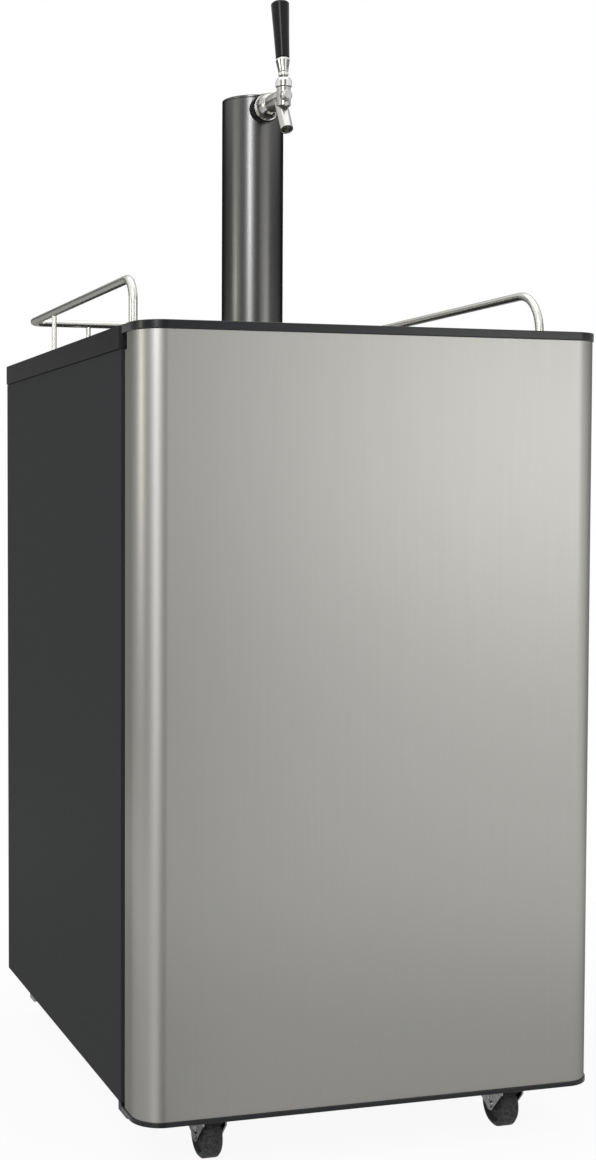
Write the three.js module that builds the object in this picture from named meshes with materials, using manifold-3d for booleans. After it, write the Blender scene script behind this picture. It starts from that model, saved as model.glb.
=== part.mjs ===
// Kegerator with one tap, on four casters.
// Millimetres. X runs to the right, Y from the door to the back, Z up.
// The origin lies on the floor, under the middle of the object's box.
import * as THREE from "three";
import { mergeVertices } from "three/addons/utils/BufferGeometryUtils.js";
import Module from "manifold-3d";

const wasm = await Module();
wasm.setup();

// Clearances
const gap = 0.3; // between pieces that touch or are fastened
const runningGap = 0.5; // around pieces that turn or slide
const overrun = 6; // how far a cutting shape runs past the face that it cuts

// Cabinet
const cabinetWidth = 524;
const cabinetDepth = 551; // from the face behind the door to the back
const cabinetHeight = 817.7; // from the lower edge of the sides to the top of the worktop
const casterHeight = 58.7; // from the floor to the lower edge of the sides
const sheet = 1.2; // painted steel sheet
const flangeWidth = 16; // the sides' folded front and back edges
const foamWall = 34.5; // insulation in sides, top, back and floor
const foamStep = 23; // thinner insulation around the machine space
const linerWall = 2.5;
const machineDepth = 122; // from the cabinet's back to the front wall of the machine space
const machineHeight = 190; // from the lower edge of the sides to the roof of the machine space
const backRecess = 31; // the back panel lies this far inside the sides' back edges
const lugDrop = 7; // the rear lugs under the sides
const lugLength = 22;
const lugThickness = 8;
const lugInset = 144; // from the cabinet's back to the lugs' front

// Worktop
const worktopThickness = 24;
const worktopOverhang = 1.6;
const worktopCorner = 4;

// Door
const doorStandOff = 67; // from the skin's front to the cabinet's face
const skinSheet = 1;
const skinReturn = 12; // the skin's folded rear edges
const skinSideDepth = 52; // from the skin's front to its rear edges
const edgeRadius = 30.5; // upright edges of the door
const capProud = 1.3; // how far the end caps stand out from the skin
const capRear = 61; // from the skin's front to the caps' rear edge
const capPlug = 8; // how far each cap reaches into the skin
const topCapThickness = 9.1;
const bottomCapThickness = 4.9;
const doorDrop = 5.3; // how far the door reaches below the sides
const doorLinerRim = 2.5;
const doorLinerEdge = 4; // the door liner's edge lies this far inside the cabinet's side
const recessDepth = 14; // hollow in the door's inner side
const recessSideMargin = 64;
const recessEndMargin = 46;
const gasketWidth = 16;
const gasketSideMargin = 12.5; // from the cabinet's side to the gasket's outer edge
const gasketEndMargin = 14.6; // from the door liner's end to the gasket's outer edge
const gasketGroove = 4;

// Door hinge, at the left edge
const hingeInset = 9; // from the cabinet's side to the pins
const hingeSetback = 52.5; // from the skin's front to the pins
const barrelRadius = 6.5;
const barrelHeight = 16.2;
const armWidth = 7;
const topPinRadius = 3.5;
const topPinLength = 6;
const tongueLength = 40; // the top bracket's tongue under the worktop
const tongueWidth = 26;
const tongueThickness = 3;
const bottomPinRadius = 4;
const bottomPinLength = 11;
const bushWall = 2.5; // of the bush in the door that takes the bottom pin
const bracketRadius = 12.5; // the bottom bracket's front corner, round the pin
const bracketThickness = 3.4; // of the bottom bracket's plate, under the door
const bracketTongueThickness = 2.5;
const bracketLength = 24.5; // from the pin to the plate's back edge
const bracketTongue = 36; // from the plate's back edge to the bracket's rear end

// Guard rail
const railRadius = 4.75;
const railHeight = 54.6; // from the worktop to the tube's middle
const railInset = 22; // from the cabinet's side to the tube's middle
const railFront = 30; // from the cabinet's face to the front legs
const railBack = 50; // from the cabinet's back to the back bar
const railLeftBend = 25; // front bends: the photograph shows a wider one on the right
const railRightBend = 46;
const railBackBend = 18;
const postRadius = 3;
const sidePostInset = 175; // from the cabinet's back to the posts under the side bars
const backPostOffset = 162; // from the middle to the posts under the back bar
const railFootRadius = 8;
const railFootThickness = 2;

// Tap tower
const towerRadius = 38.1;
const towerWall = 1.5;
const towerHeight = 316.6; // from the worktop to the top
const towerInset = 237; // from the cabinet's back to the tower's axis
const towerCapThickness = 3;
const towerCapPlug = 8;
const flangeRadius = 52;
const flangeThickness = 4;
const collarHeight = 8; // the tower flange's raised collar
const collarWall = 3;
const lineHole = 25; // radius of the passage from the cabinet into the tower
const sleeveBore = 27; // inner radius of the tower's insulation
const lineRadius = 4.5;
const lineBend = 22;
const lineLead = 4; // straight start of the beer line
const lineDrop = 14; // from the ceiling to the beer line's end fitting
const fittingRadius = 8;
const fittingLength = 16;

// Tap
const tapReach = 66; // from the tower's face to the tap's upright axis
const tapDrop = 18; // from the tower's top down to the shank's axis
const shankRadius = 11;
const shankBore = 3.5;
const shankFront = 44.7; // from the tap's axis to the shank's front end
const shankRear = 92.1; // from the tap's axis to the shank's rear end
const shankFlangeRadius = 16;
const shankFlangeThickness = 3.7;
const saddleRadius = 17.5;
const saddleThickness = 7.9; // at the tower's foremost line
const couplingRadius = 15;
const couplingFront = 35.1; // from the tap's axis to the coupling nut's front face
const couplingLip = 4.7;
const lockNutRadius = 16;
const lockNutThickness = 6;
const bodyNeckRadius = 8;
const bodyConeRadius = 13;
const bodyConeStart = 12; // from the tap's upright axis
const bodyConeFrontRadius = 10.4;
const webStart = 8; // from the coupling nut to the wide end of the web up to the barrel's top
const webStartRadius = 11.2;
const webEnd = 2; // from the tap's upright axis to the web's narrow end
const webEndRadius = 5.6;
const webRise = 4.6; // from the shank's axis to the middle of the narrow end
const bodyFlangeRadius = 10.7;
const bodyFlangeThickness = 4.3;
const barrelBodyRadius = 8.4; // the tap's upright barrel
const barrelBodyTop = 11;
const barrelBodyBottom = 11;
const noseLength = 12;
const noseRadius = 6.8;
const buttonRadius = 5.3; // round boss on the tap's front
const buttonLength = 2.5;
const boreRadius = 4.6; // the valve's bore through the body
const boreFront = 10;
const spoutRadius = 7.7;
const spoutRootRadius = 7.2;
const spoutRootBehind = 9; // how far the spout's root lies behind the tap's upright axis
const spoutRootDrop = 6; // from the shank's axis down to the spout's root
const spoutWall = 1.4;
const spoutDrop = 40.5; // from the shank's axis to the middle of the outlet
const spoutReach = 10.5; // how far the outlet lies ahead of the tap's axis
const shaftRadius = 4.2;
const shaftFront = 9.5;
const shaftRear = 20;
const shaftSlotFloor = 1;
const bonnetRadius = 9.7;
const bonnetHeight = 10.7;
const bonnetBore = 6.3;
const bonnetChamfer = 3.4;
const pivotHeight = 19; // from the shank's axis to the lever's pivot
const leverArm = 15; // from the pivot to the lever's tip
const leverTipRadius = 2.6;
const leverStemRadius = 1.9;
const leverBallRadius = 6;
const leverCollarRadius = 6;
const leverCollarStart = 5.2;
const leverCollarEnd = 10;
const leverStudRadius = 3;
const leverStudEnd = 20;
const leverLean = 8; // degrees that the closed lever leans back
const leverTravel = 24; // degrees from closed to open
const ferruleLength = 16.2;
const ferruleFootRadius = 5.9;
const ferruleTopRadius = 8.3;
const handleLength = 69.5;
const handleFootRadius = 8.2;
const handleTopRadius = 11;
const handleDome = 2.2;

// Drip tray on the worktop
const trayWidth = 216;
const trayDepth = 140;
const trayHeight = 14;
const trayWall = 1.6;
const trayCorner = 20;
const trayBehind = 61; // from the tower's axis to the tray's rear edge
const grilleThickness = 2;
const grilleDrop = 1.8; // from the tray's rim to the grille's top
const slotCount = 11;
const slotWidth = 6;
const slotMargin = 18;

// Inside
const floorPlateThickness = 2;
const floorPlateMargin = 12;
const ribHeight = 2;
const ribWidth = 10;
const ribCount = 4;
const evaporatorSide = 33; // from the liner's side walls
const evaporatorThickness = 2;
const evaporatorRise = 50; // above the liner's step
const evaporatorDrop = 90; // below the liner's ceiling
const standOff = 8; // evaporator to the liner's back wall
const bossRadius = 6;
const bossInset = 30;
const channelWidth = 10;
const channelHeight = 1.5;
const channelCount = 6;
const housingWidth = 92;
const housingDepth = 48;
const housingHeight = 34;
const housingSetback = 50; // from the cabinet's face to the housing's front
const housingSide = 28; // from the liner's right wall to the housing
const knobRadius = 13;
const knobLength = 12;
const knobGripWidth = 5;
const knobSpindleRadius = 3;
const knobSpindleLength = 10;

// Machine space
const basePlateThickness = 2.5;
const basePlateFlange = 12;
const compressorWidth = 150;
const compressorDepth = 104;
const compressorHeight = 132;
const compressorRound = 16;
const compressorSeam = 3;
const compressorSeamHeight = 4;
const compressorOffset = 30; // from the middle, to the right
const compressorFoot = 8;
const footPlateThickness = 3;
const footPlateMargin = 12;
const relayWidth = 34;
const relayDepth = 46;
const relayHeight = 56;
const panWidth = 140;
const panDepth = 88;
const panHeight = 22;
const panWall = 1.5;
const coilRadius = 2.6;
const coilSide = 52; // from the cabinet's sides to the coil
const coilPasses = 10;
const coilRise = 40; // from the roof of the machine space to the lowest pass
const coilDrop = 60; // from the worktop's underside to the highest pass
const coilStandOff = 14; // from the back panel to the coil's middle
const strapWidth = 14;
const strapThickness = 1.2;
const strapInset = 70;
const footingLength = 10;
const drierRadius = 10;
const drierLength = 86;
const drierNeck = 3;
const drierNeckLength = 10;
const drierSide = 34; // from the left side panel to the drier's axis
const pipeRadius = 3.2;
const pipeBend = 12;
const glandRadius = 8;
const glandBore = 3.6;
const glandLength = 14;
const glandSide = 60; // from the right side panel to the gland's axis

// Casters
const wheelRadius = 25;
const wheelWidth = 21;
const wheelBore = 3.4;
const hubWidth = 22.4;
const hubRadius = 9;
const treadRound = 3;
const axleRadius = 3;
const axleHeadRadius = 5;
const axleHeadThickness = 1.5;
const trail = 31; // from the swivel axis to the wheel's axle
const forkPlate = 2;
const forkInside = 23.2;
const forkEye = 7; // half width of the fork's lower end
const crownRadius = 14;
const crownThickness = 2.5;
const crownTop = 49.3;
const cupRadius = 14;
const mountThickness = 2.5;
const mountWidth = 60;
const mountDepth = 29;
const casterInset = 89; // from the cabinet's side to the swivel axis
const frontCasterSetback = 11; // from the cabinet's face to the front swivel axes
const rearCasterInset = 43; // from the cabinet's back to the rear swivel axes
const brakeWidth = 20;
const brakeDistance = 31; // from the wheel's axle to the brake's pivot
const brakeBoss = 4;
const brakePinRadius = 1.4;
const brakeShoe = 1.5;
const brakeShoeArm = 4.5;
const pedalTip = 62; // from the swivel axis to the pedal's tip
const pedalThickness = 2.4;
const pedalTipHeight = 51.2;
const earRadius = 4.5;

// Facets of round pieces
const wheelSides = 24;
const towerSides = 40;
const roundSides = 20;
const smallSides = 12;
const tubeSides = 10;
const coilSides = 6;
const hexSides = 6;
const bendSteps = 6;
const arcSteps = 8;
const slotSteps = 2;

const halfTurn = 180; // degrees

// Places that follow from the sizes
const frontY = -(doorStandOff + cabinetDepth - capProud) / 2;
const faceY = frontY + doorStandOff;
const backY = faceY + cabinetDepth;
const sideX = cabinetWidth / 2;
const bottomZ = casterHeight;
const topZ = bottomZ + cabinetHeight;
const boardZ = topZ - worktopThickness;
const panelTop = boardZ - gap;
const shellX = sideX - sheet - gap; // inside the side panels
const linerX = shellX - foamWall; // outside of the liner
const roomX = linerX - gap - linerWall; // inside of the liner
const floorZ = bottomZ + sheet + foamWall + linerWall + 2 * gap;
const ceilingZ = panelTop - foamWall - linerWall - gap;
const backPanelY = backY - backRecess;
const roomBackY = backPanelY - foamWall - linerWall - 2 * gap;
const machineRoof = bottomZ + machineHeight;
const machineFront = backY - machineDepth;
const stepY = machineFront - foamStep - linerWall - 2 * gap;
const stepZ = machineRoof + foamStep + linerWall + 2 * gap;
const hingeX = -sideX + hingeInset;
const hingeY = frontY + hingeSetback;
const doorBottom = bottomZ - doorDrop;
const skinBottom = doorBottom + bottomCapThickness;
const doorTop = topZ;
const skinTop = doorTop - topCapThickness;
const skinRearY = frontY + skinSideDepth;
const capRearY = frontY + capRear;
const rimY = skinRearY + gap;
const rimBackY = rimY + doorLinerRim;
const rimBottom = skinBottom + gap;
const rimTop = skinTop - gap;
const towerY = backY - towerInset;
const towerTop = topZ + towerHeight;
const shankZ = towerTop - tapDrop;
const tapY = towerY - towerRadius - tapReach;
const axleZ = wheelRadius * Math.cos(Math.PI / wheelSides);
const mountTop = bottomZ - gap;

// Materials
function finish(colour, roughness, metalness) {
  return new THREE.MeshStandardMaterial({ color: colour, roughness, metalness });
}

const stainless = finish(0xaaa8a2, 0.35, 1);
const satinSteel = finish(0xc9c6bd, 0.3, 1);
const smokedSteel = finish(0x3b3a38, 0.3, 1);
const chrome = finish(0xd9d8d4, 0.1, 1);
const greyPaint = finish(0x38383a, 0.6, 0);
const blackPaint = finish(0x1b1b1c, 0.4, 0);
const blackPlastic = finish(0x242526, 0.45, 0);
const glossBlack = finish(0x141415, 0.2, 0);
const darkLiner = finish(0x2f3032, 0.5, 0);
const rubber = finish(0x1c1c1c, 0.8, 0);
const foam = finish(0xd8c99a, 0.95, 0);
const aluminium = finish(0xc4c6c8, 0.4, 1);
const copper = finish(0xb8744a, 0.35, 1);
const zinc = finish(0x9b9c9c, 0.45, 1);
const paleTube = finish(0xd8dcdc, 0.4, 0);

// A closed geometry as a solid that can be joined and cut.
function solid(geometry) {
  const bare = geometry.index ? geometry.toNonIndexed() : geometry.clone();
  bare.deleteAttribute("normal");
  bare.deleteAttribute("uv");
  const merged = mergeVertices(bare);
  return new wasm.Manifold(
    new wasm.Mesh({
      numProp: 3,
      vertProperties: merged.attributes.position.array,
      triVerts: new Uint32Array(merged.index.array),
    }),
  );
}

function joined(...solids) {
  return solids.reduce((whole, next) => whole.add(next));
}

// A solid as a named mesh of the scene.
function piece(name, shape, material) {
  const { numProp, numVert, vertProperties, triVerts } = shape.getMesh();
  const corners = new Float32Array(numVert * 3);
  for (let i = 0; i < numVert; i++) {
    corners.set(vertProperties.subarray(i * numProp, i * numProp + 3), i * 3);
  }
  const geometry = new THREE.BufferGeometry();
  geometry.setAttribute("position", new THREE.BufferAttribute(corners, 3));
  geometry.setIndex(new THREE.BufferAttribute(triVerts, 1));
  geometry.computeVertexNormals();
  const mesh = new THREE.Mesh(geometry, material);
  mesh.name = name;
  return mesh;
}

function group(x, y, z, ...children) {
  const holder = new THREE.Group();
  holder.position.set(x, y, z);
  holder.add(...children);
  return holder;
}

// A block between two corners.
function block(x0, x1, y0, y1, z0, z1) {
  const geometry = new THREE.BoxGeometry(x1 - x0, y1 - y0, z1 - z0);
  geometry.translate((x0 + x1) / 2, (y0 + y1) / 2, (z0 + z1) / 2);
  return solid(geometry);
}

// A shape in X and Y, drawn out from z0 to z1.
function upright(shape, z0, z1) {
  const geometry = new THREE.ExtrudeGeometry(shape, {
    depth: z1 - z0,
    bevelEnabled: false,
    curveSegments: arcSteps,
  });
  geometry.translate(0, 0, z0);
  return solid(geometry);
}

// An outline in Y and Z, drawn out from x0 to x1.
function crosswise(outline, x0, x1) {
  const shape = new THREE.Shape(outline.map(([y, z]) => new THREE.Vector2(y, z)));
  const geometry = new THREE.ExtrudeGeometry(shape, { depth: x1 - x0, bevelEnabled: false });
  geometry.applyMatrix4(new THREE.Matrix4().makeBasis(
    new THREE.Vector3(0, 1, 0),
    new THREE.Vector3(0, 0, 1),
    new THREE.Vector3(1, 0, 0),
  ));
  geometry.translate(x0, 0, 0);
  return solid(geometry);
}

// A shape of revolution about Z from points [radius, height], both ends on the axis.
function turned(profile, sides) {
  const points = profile.map(([radius, height]) => new THREE.Vector2(radius, height));
  const geometry = new THREE.LatheGeometry(points, sides);
  geometry.rotateX(Math.PI / 2);
  return geometry;
}

// A round bar along Z.
function rod(radius, z0, z1, sides = roundSides) {
  return turned([[0, z0], [radius, z0], [radius, z1], [0, z1]], sides);
}

function bar(x, y, radius, z0, z1, sides = roundSides) {
  return solid(rod(radius, z0, z1, sides).translate(x, y, 0));
}

// A turned shape laid along Y: its heights run towards the back.
function alongY(geometry, x, z) {
  return solid(geometry.rotateX(-Math.PI / 2).translate(x, 0, z));
}

// A turned shape laid along X: its heights run to the right.
function alongX(geometry, y, z) {
  return solid(geometry.rotateY(Math.PI / 2).translate(0, y, z));
}

function roundedRectangle(x0, x1, y0, y1, radius) {
  const shape = new THREE.Shape();
  shape.moveTo(x0 + radius, y0);
  shape.lineTo(x1 - radius, y0);
  shape.absarc(x1 - radius, y0 + radius, radius, -Math.PI / 2, 0);
  shape.lineTo(x1, y1 - radius);
  shape.absarc(x1 - radius, y1 - radius, radius, 0, Math.PI / 2);
  shape.lineTo(x0 + radius, y1);
  shape.absarc(x0 + radius, y1 - radius, radius, Math.PI / 2, Math.PI);
  shape.lineTo(x0, y0 + radius);
  shape.absarc(x0 + radius, y0 + radius, radius, Math.PI, 1.5 * Math.PI);
  return shape;
}

// The middle line of a bent tube: straight runs between corners, each corner a round bend.
class BentRun extends THREE.Curve {
  constructor(corners, bendRadius) {
    super();
    this.stations = [];
    const last = corners.length - 1;
    const heading = (i) => corners[i + 1].clone().sub(corners[i]).normalize();
    this.addStation(corners[0], heading(0));
    for (let i = 1; i < last; i++) {
      this.addBend(corners[i], heading(i - 1), heading(i), bendRadius[i - 1]);
    }
    this.addStation(corners[last], heading(last - 1));
  }

  addStation(point, tangent) {
    this.stations.push({ point: point.clone(), tangent: tangent.clone() });
  }

  addBend(corner, before, after, radius) {
    const angle = before.angleTo(after);
    const inward = after.clone().sub(before).normalize();
    const centre = corner.clone().addScaledVector(inward, radius / Math.cos(angle / 2));
    const start = corner.clone().addScaledVector(before, -radius * Math.tan(angle / 2));
    const axis = before.clone().cross(after).normalize();
    for (let step = 0; step <= bendSteps; step++) {
      const turn = (angle * step) / bendSteps;
      const arm = start.clone().sub(centre).applyAxisAngle(axis, turn);
      this.addStation(centre.clone().add(arm), before.clone().applyAxisAngle(axis, turn));
    }
  }

  get steps() {
    return this.stations.length - 1;
  }

  getPointAt(u, target = new THREE.Vector3()) {
    return target.copy(this.stations[Math.round(u * this.steps)].point);
  }

  getTangentAt(u, target = new THREE.Vector3()) {
    return target.copy(this.stations[Math.round(u * this.steps)].tangent);
  }
}

// A round bar bent along corner points [x, y, z], with one bend radius for each inner corner.
function bentTube(corners, radius, bendRadius, sides) {
  const points = corners.map(([x, y, z]) => new THREE.Vector3(x, y, z));
  const bends = Array.isArray(bendRadius) ? bendRadius : corners.map(() => bendRadius);
  const run = new BentRun(points, bends);
  const section = new THREE.Shape();
  for (let i = 0; i < sides; i++) {
    const turn = (2 * Math.PI * i) / sides;
    const [x, y] = [radius * Math.cos(turn), radius * Math.sin(turn)];
    if (i === 0) section.moveTo(x, y);
    else section.lineTo(x, y);
  }
  const geometry = new THREE.ExtrudeGeometry(section, { steps: run.steps, extrudePath: run });
  return solid(geometry);
}

// Side panel: a sheet with its front and back edges folded inwards. side is -1 left, 1 right.
function sidePanel(side) {
  const outer = side * sideX;
  const inner = side * (sideX - sheet);
  const edge = side * (sideX - flangeWidth);
  const outline = [
    [edge, faceY], [outer, faceY], [outer, backY], [edge, backY],
    [edge, backY - sheet], [inner, backY - sheet], [inner, faceY + sheet], [edge, faceY + sheet],
  ];
  const shape = new THREE.Shape(outline.map(([x, y]) => new THREE.Vector2(x, y)));
  return upright(shape, bottomZ, panelTop);
}

// Base pan: the floor sheet, the wall and the roof of the machine space, bent from one sheet.
function basePan() {
  const start = faceY + sheet + gap;
  const outline = [
    [start, bottomZ], [machineFront + sheet, bottomZ],
    [machineFront + sheet, machineRoof - sheet], [backPanelY - gap, machineRoof - sheet],
    [backPanelY - gap, machineRoof], [machineFront, machineRoof],
    [machineFront, bottomZ + sheet], [start, bottomZ + sheet],
  ];
  let pan = crosswise(outline, -shellX, shellX);
  for (const side of [-1, 1]) {
    const edges = [side * shellX, side * (shellX - lugThickness)].sort((a, b) => a - b);
    const lugY = backY - lugInset;
    const lug = block(...edges, lugY, lugY + lugLength, bottomZ - lugDrop, bottomZ + sheet);
    pan = pan.add(lug);
  }
  return pan;
}

// The cabinet's inside, larger by margin on every wall, from y0 to the back.
function roomVolume(margin, y0) {
  const outline = [
    [y0, floorZ - margin], [stepY + margin, floorZ - margin],
    [stepY + margin, stepZ - margin], [roomBackY + margin, stepZ - margin],
    [roomBackY + margin, ceilingZ + margin], [y0, ceilingZ + margin],
  ];
  return crosswise(outline, -roomX - margin, roomX + margin);
}

// The passage between cabinet and tower.
function passage(z0, z1) {
  return bar(0, towerY, lineHole, z0 - overrun, z1 + overrun, towerSides);
}

function innerLiner() {
  const flangeX = sideX - flangeWidth - gap;
  const flange = block(-flangeX, flangeX, faceY, faceY + linerWall, bottomZ + sheet + gap, panelTop - gap);
  const shell = roomVolume(linerWall, faceY).add(flange);
  return shell.subtract(roomVolume(0, faceY - overrun)).subtract(passage(ceilingZ, panelTop));
}

function insulationFoam() {
  const base = bottomZ + sheet + gap;
  const front = faceY + linerWall + gap;
  const outline = [
    [front, base], [machineFront - gap, base],
    [machineFront - gap, machineRoof + gap], [backPanelY - gap, machineRoof + gap],
    [backPanelY - gap, panelTop - gap], [front, panelTop - gap],
  ];
  return crosswise(outline, -shellX, shellX)
    .subtract(roomVolume(linerWall + gap, front - overrun))
    .subtract(passage(ceilingZ, panelTop));
}

function backPanel() {
  return block(-shellX, shellX, backPanelY, backPanelY + sheet, machineRoof, panelTop);
}

function worktop() {
  const edge = sideX + worktopOverhang;
  const board = upright(roundedRectangle(-edge, edge, faceY, backY, worktopCorner), boardZ, topZ);
  const pocket = block(
    hingeX - armWidth / 2 - gap, hingeX + tongueWidth + gap,
    faceY - overrun, faceY + tongueLength + gap,
    boardZ - overrun, boardZ + tongueThickness + 2 * gap,
  );
  return board.subtract(passage(boardZ, topZ)).subtract(pocket);
}

// Guard rail: one bent tube on two front legs, with posts welded under its side and back bars.
function guardRail() {
  const foot = topZ + gap;
  const barZ = topZ + railHeight;
  const x = sideX - railInset;
  const legY = faceY + railFront;
  const barY = backY - railBack;
  const corners = [
    [-x, legY, foot], [-x, legY, barZ], [-x, barY, barZ],
    [x, barY, barZ], [x, legY, barZ], [x, legY, foot],
  ];
  const bends = [railLeftBend, railBackBend, railBackBend, railRightBend];
  let rail = bentTube(corners, railRadius, bends, tubeSides);
  const postY = backY - sidePostInset;
  const posts = [[-x, postY], [x, postY], [-backPostOffset, barY], [backPostOffset, barY]];
  for (const [px, py] of posts) {
    rail = rail.add(bar(px, py, postRadius, foot, barZ, smallSides));
  }
  for (const [px, py] of [...posts, [-x, legY], [x, legY]]) {
    rail = rail.add(bar(px, py, railFootRadius, foot, foot + railFootThickness, smallSides));
  }
  return rail;
}

// Plate on the liner's floor that carries the keg, with raised ribs across.
function kegFloorPlate() {
  const x = roomX - floorPlateMargin;
  const y0 = faceY + floorPlateMargin;
  const y1 = stepY - floorPlateMargin;
  const z0 = floorZ + gap;
  let plate = block(-x, x, y0, y1, z0, z0 + floorPlateThickness);
  for (let i = 1; i <= ribCount; i++) {
    const y = y0 + ((y1 - y0) * i) / (ribCount + 1);
    const top = z0 + floorPlateThickness + ribHeight;
    plate = plate.add(block(-x + ribWidth, x - ribWidth, y - ribWidth / 2, y + ribWidth / 2, z0, top));
  }
  return plate;
}

// Evaporator plate on the liner's back wall: raised channels in front, four bosses behind.
function evaporatorPlate() {
  const x = roomX - evaporatorSide;
  const z0 = stepZ + evaporatorRise;
  const z1 = ceilingZ - evaporatorDrop;
  const y1 = roomBackY - standOff;
  const y0 = y1 - evaporatorThickness;
  const channelX = x - bossInset;
  let plate = block(-x, x, y0, y1, z0, z1);
  for (let i = 1; i <= channelCount; i++) {
    const z = z0 + ((z1 - z0) * i) / (channelCount + 1);
    const low = z - channelWidth / 2;
    plate = plate.add(block(-channelX, channelX, y0 - channelHeight, y1, low, low + channelWidth));
  }
  for (const bx of [-x + bossInset / 2, x - bossInset / 2]) {
    for (const bz of [z0 + bossInset, z1 - bossInset]) {
      const boss = rod(bossRadius, y0 + evaporatorThickness / 2, roomBackY - gap, smallSides);
      plate = plate.add(alongY(boss, bx, bz));
    }
  }
  return plate;
}

// Thermostat: a housing under the ceiling with a knob on its front.
const housingX1 = roomX - housingSide;
const housingX0 = housingX1 - housingWidth;
const housingY0 = faceY + housingSetback;
const housingZ1 = ceilingZ - gap;
const housingZ0 = housingZ1 - housingHeight;
const knobX = (housingX0 + housingX1) / 2;
const knobZ = (housingZ0 + housingZ1) / 2;

function thermostatHousing() {
  const box = block(housingX0, housingX1, housingY0, housingY0 + housingDepth, housingZ0, housingZ1);
  const holeEnd = housingY0 + knobSpindleLength + gap;
  const hole = rod(knobSpindleRadius + runningGap, housingY0 - overrun, holeEnd);
  return box.subtract(alongY(hole, knobX, knobZ));
}

function thermostatKnob() {
  const rear = housingY0 - gap;
  const front = rear - knobLength;
  const disc = alongY(rod(knobRadius, front + knobLength / 2, rear), knobX, knobZ);
  const spindle = rod(knobSpindleRadius, rear - knobLength / 2, rear + knobSpindleLength, smallSides);
  const grip = block(
    knobX - knobGripWidth / 2, knobX + knobGripWidth / 2,
    front, rear - knobLength / 4,
    knobZ - knobRadius + gap, knobZ + knobRadius - gap,
  );
  return joined(disc, alongY(spindle, knobX, knobZ), grip);
}

// Outline of the door seen from above, inset from the skin's outer face, open at its rear edge.
function doorOutline(inset, rearY) {
  const x = sideX - inset;
  const front = frontY + inset;
  const radius = edgeRadius - inset;
  const shape = new THREE.Shape();
  shape.moveTo(-x, rearY);
  shape.lineTo(-x, front + radius);
  shape.absarc(-x + radius, front + radius, radius, Math.PI, 1.5 * Math.PI);
  shape.lineTo(x - radius, front);
  shape.absarc(x - radius, front + radius, radius, -Math.PI / 2, 0);
  shape.lineTo(x, rearY);
  shape.closePath();
  return shape;
}

// Room in the door's rear left corner for the top hinge's barrel and arm.
const notchBottom = skinTop - gap - barrelHeight - 2 * runningGap;

function hingeNotch() {
  const reach = barrelRadius + runningGap;
  return block(
    -sideX - overrun, hingeX + reach,
    hingeY - reach, faceY,
    notchBottom, skinTop,
  );
}

// Room for the bottom cap's bush, in the rear left corner.
const bushRadius = bottomPinRadius + runningGap + bushWall;
const bushTop = skinBottom + capPlug;

function bushRoom() {
  return bar(hingeX, hingeY, bushRadius + gap, skinBottom - overrun, bushTop + gap);
}

// The space inside the skin.
function skinInside(z0, z1) {
  const inset = skinSheet + gap;
  return upright(doorOutline(inset, skinRearY - inset), z0, z1);
}

function doorSkin() {
  const outer = upright(doorOutline(0, skinRearY), skinBottom, skinTop);
  const innerOutline = doorOutline(skinSheet, skinRearY - skinSheet);
  const inner = upright(innerOutline, skinBottom - overrun, skinTop + overrun);
  const openX = sideX - skinReturn;
  const opening = block(
    -openX, openX,
    skinRearY - skinSheet - gap, skinRearY + overrun,
    skinBottom - overrun, skinTop + overrun,
  );
  return outer.subtract(inner).subtract(opening).subtract(hingeNotch()).subtract(bushRoom());
}

// The hollow in the door's inner side, larger by margin on its walls and its floor.
function doorRecess(margin) {
  const x = sideX - recessSideMargin + margin;
  return block(
    -x, x,
    rimBackY - doorLinerRim - recessDepth - margin, faceY,
    rimBottom + recessEndMargin - margin, rimTop - recessEndMargin + margin,
  );
}

function doorFoam() {
  const z0 = skinBottom + capPlug + gap;
  const z1 = skinTop - capPlug - gap;
  const rear = skinRearY - skinSheet;
  const deepX = sideX - skinReturn - gap;
  const deep = block(-deepX, deepX, rear - edgeRadius / 2, rear, z0, z1);
  return skinInside(z0, z1)
    .add(deep)
    .subtract(doorRecess(linerWall + gap))
    .subtract(hingeNotch());
}

function doorLiner() {
  const x = sideX - doorLinerEdge;
  const rim = block(-x, x, rimY, rimBackY, rimBottom, rimTop);
  const tub = doorRecess(linerWall).intersect(
    block(-sideX, sideX, frontY, rimBackY, rimBottom, rimTop),
  );
  return rim.add(tub).subtract(doorRecess(0)).subtract(hingeNotch()).subtract(bushRoom());
}

// Seal between door and cabinet: a ring with a groove round its face towards the door.
function doorGasket() {
  const x = sideX - gasketSideMargin;
  const z0 = rimBottom + gasketEndMargin;
  const z1 = rimTop - gasketEndMargin - barrelHeight;
  const y0 = rimBackY + gap;
  const y1 = faceY - gap;
  const openX = x - gasketWidth;
  const ring = block(-x, x, y0, y1, z0, z1).subtract(
    block(-openX, openX, y0 - overrun, y1 + overrun, z0 + gasketWidth, z1 - gasketWidth),
  );
  const outside = (gasketWidth - gasketGroove) / 2;
  const inside = outside + gasketGroove;
  const grooveY = (y0 + y1) / 2;
  const outer = block(-x + outside, x - outside, y0 - overrun, grooveY, z0 + outside, z1 - outside);
  const groove = outer.subtract(
    block(-x + inside, x - inside, y0 - overrun, grooveY + overrun, z0 + inside, z1 - inside),
  );
  return ring.subtract(groove);
}

function doorTopCap() {
  const plate = upright(doorOutline(-capProud, capRearY), skinTop, doorTop);
  const plug = skinInside(skinTop - capPlug, skinTop + gap);
  const pinHole = bar(
    hingeX, hingeY, topPinRadius + runningGap,
    skinTop - overrun, skinTop + topPinLength, smallSides,
  );
  const clear = hingeNotch();
  return plate.add(plug.subtract(clear)).subtract(pinHole);
}

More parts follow.
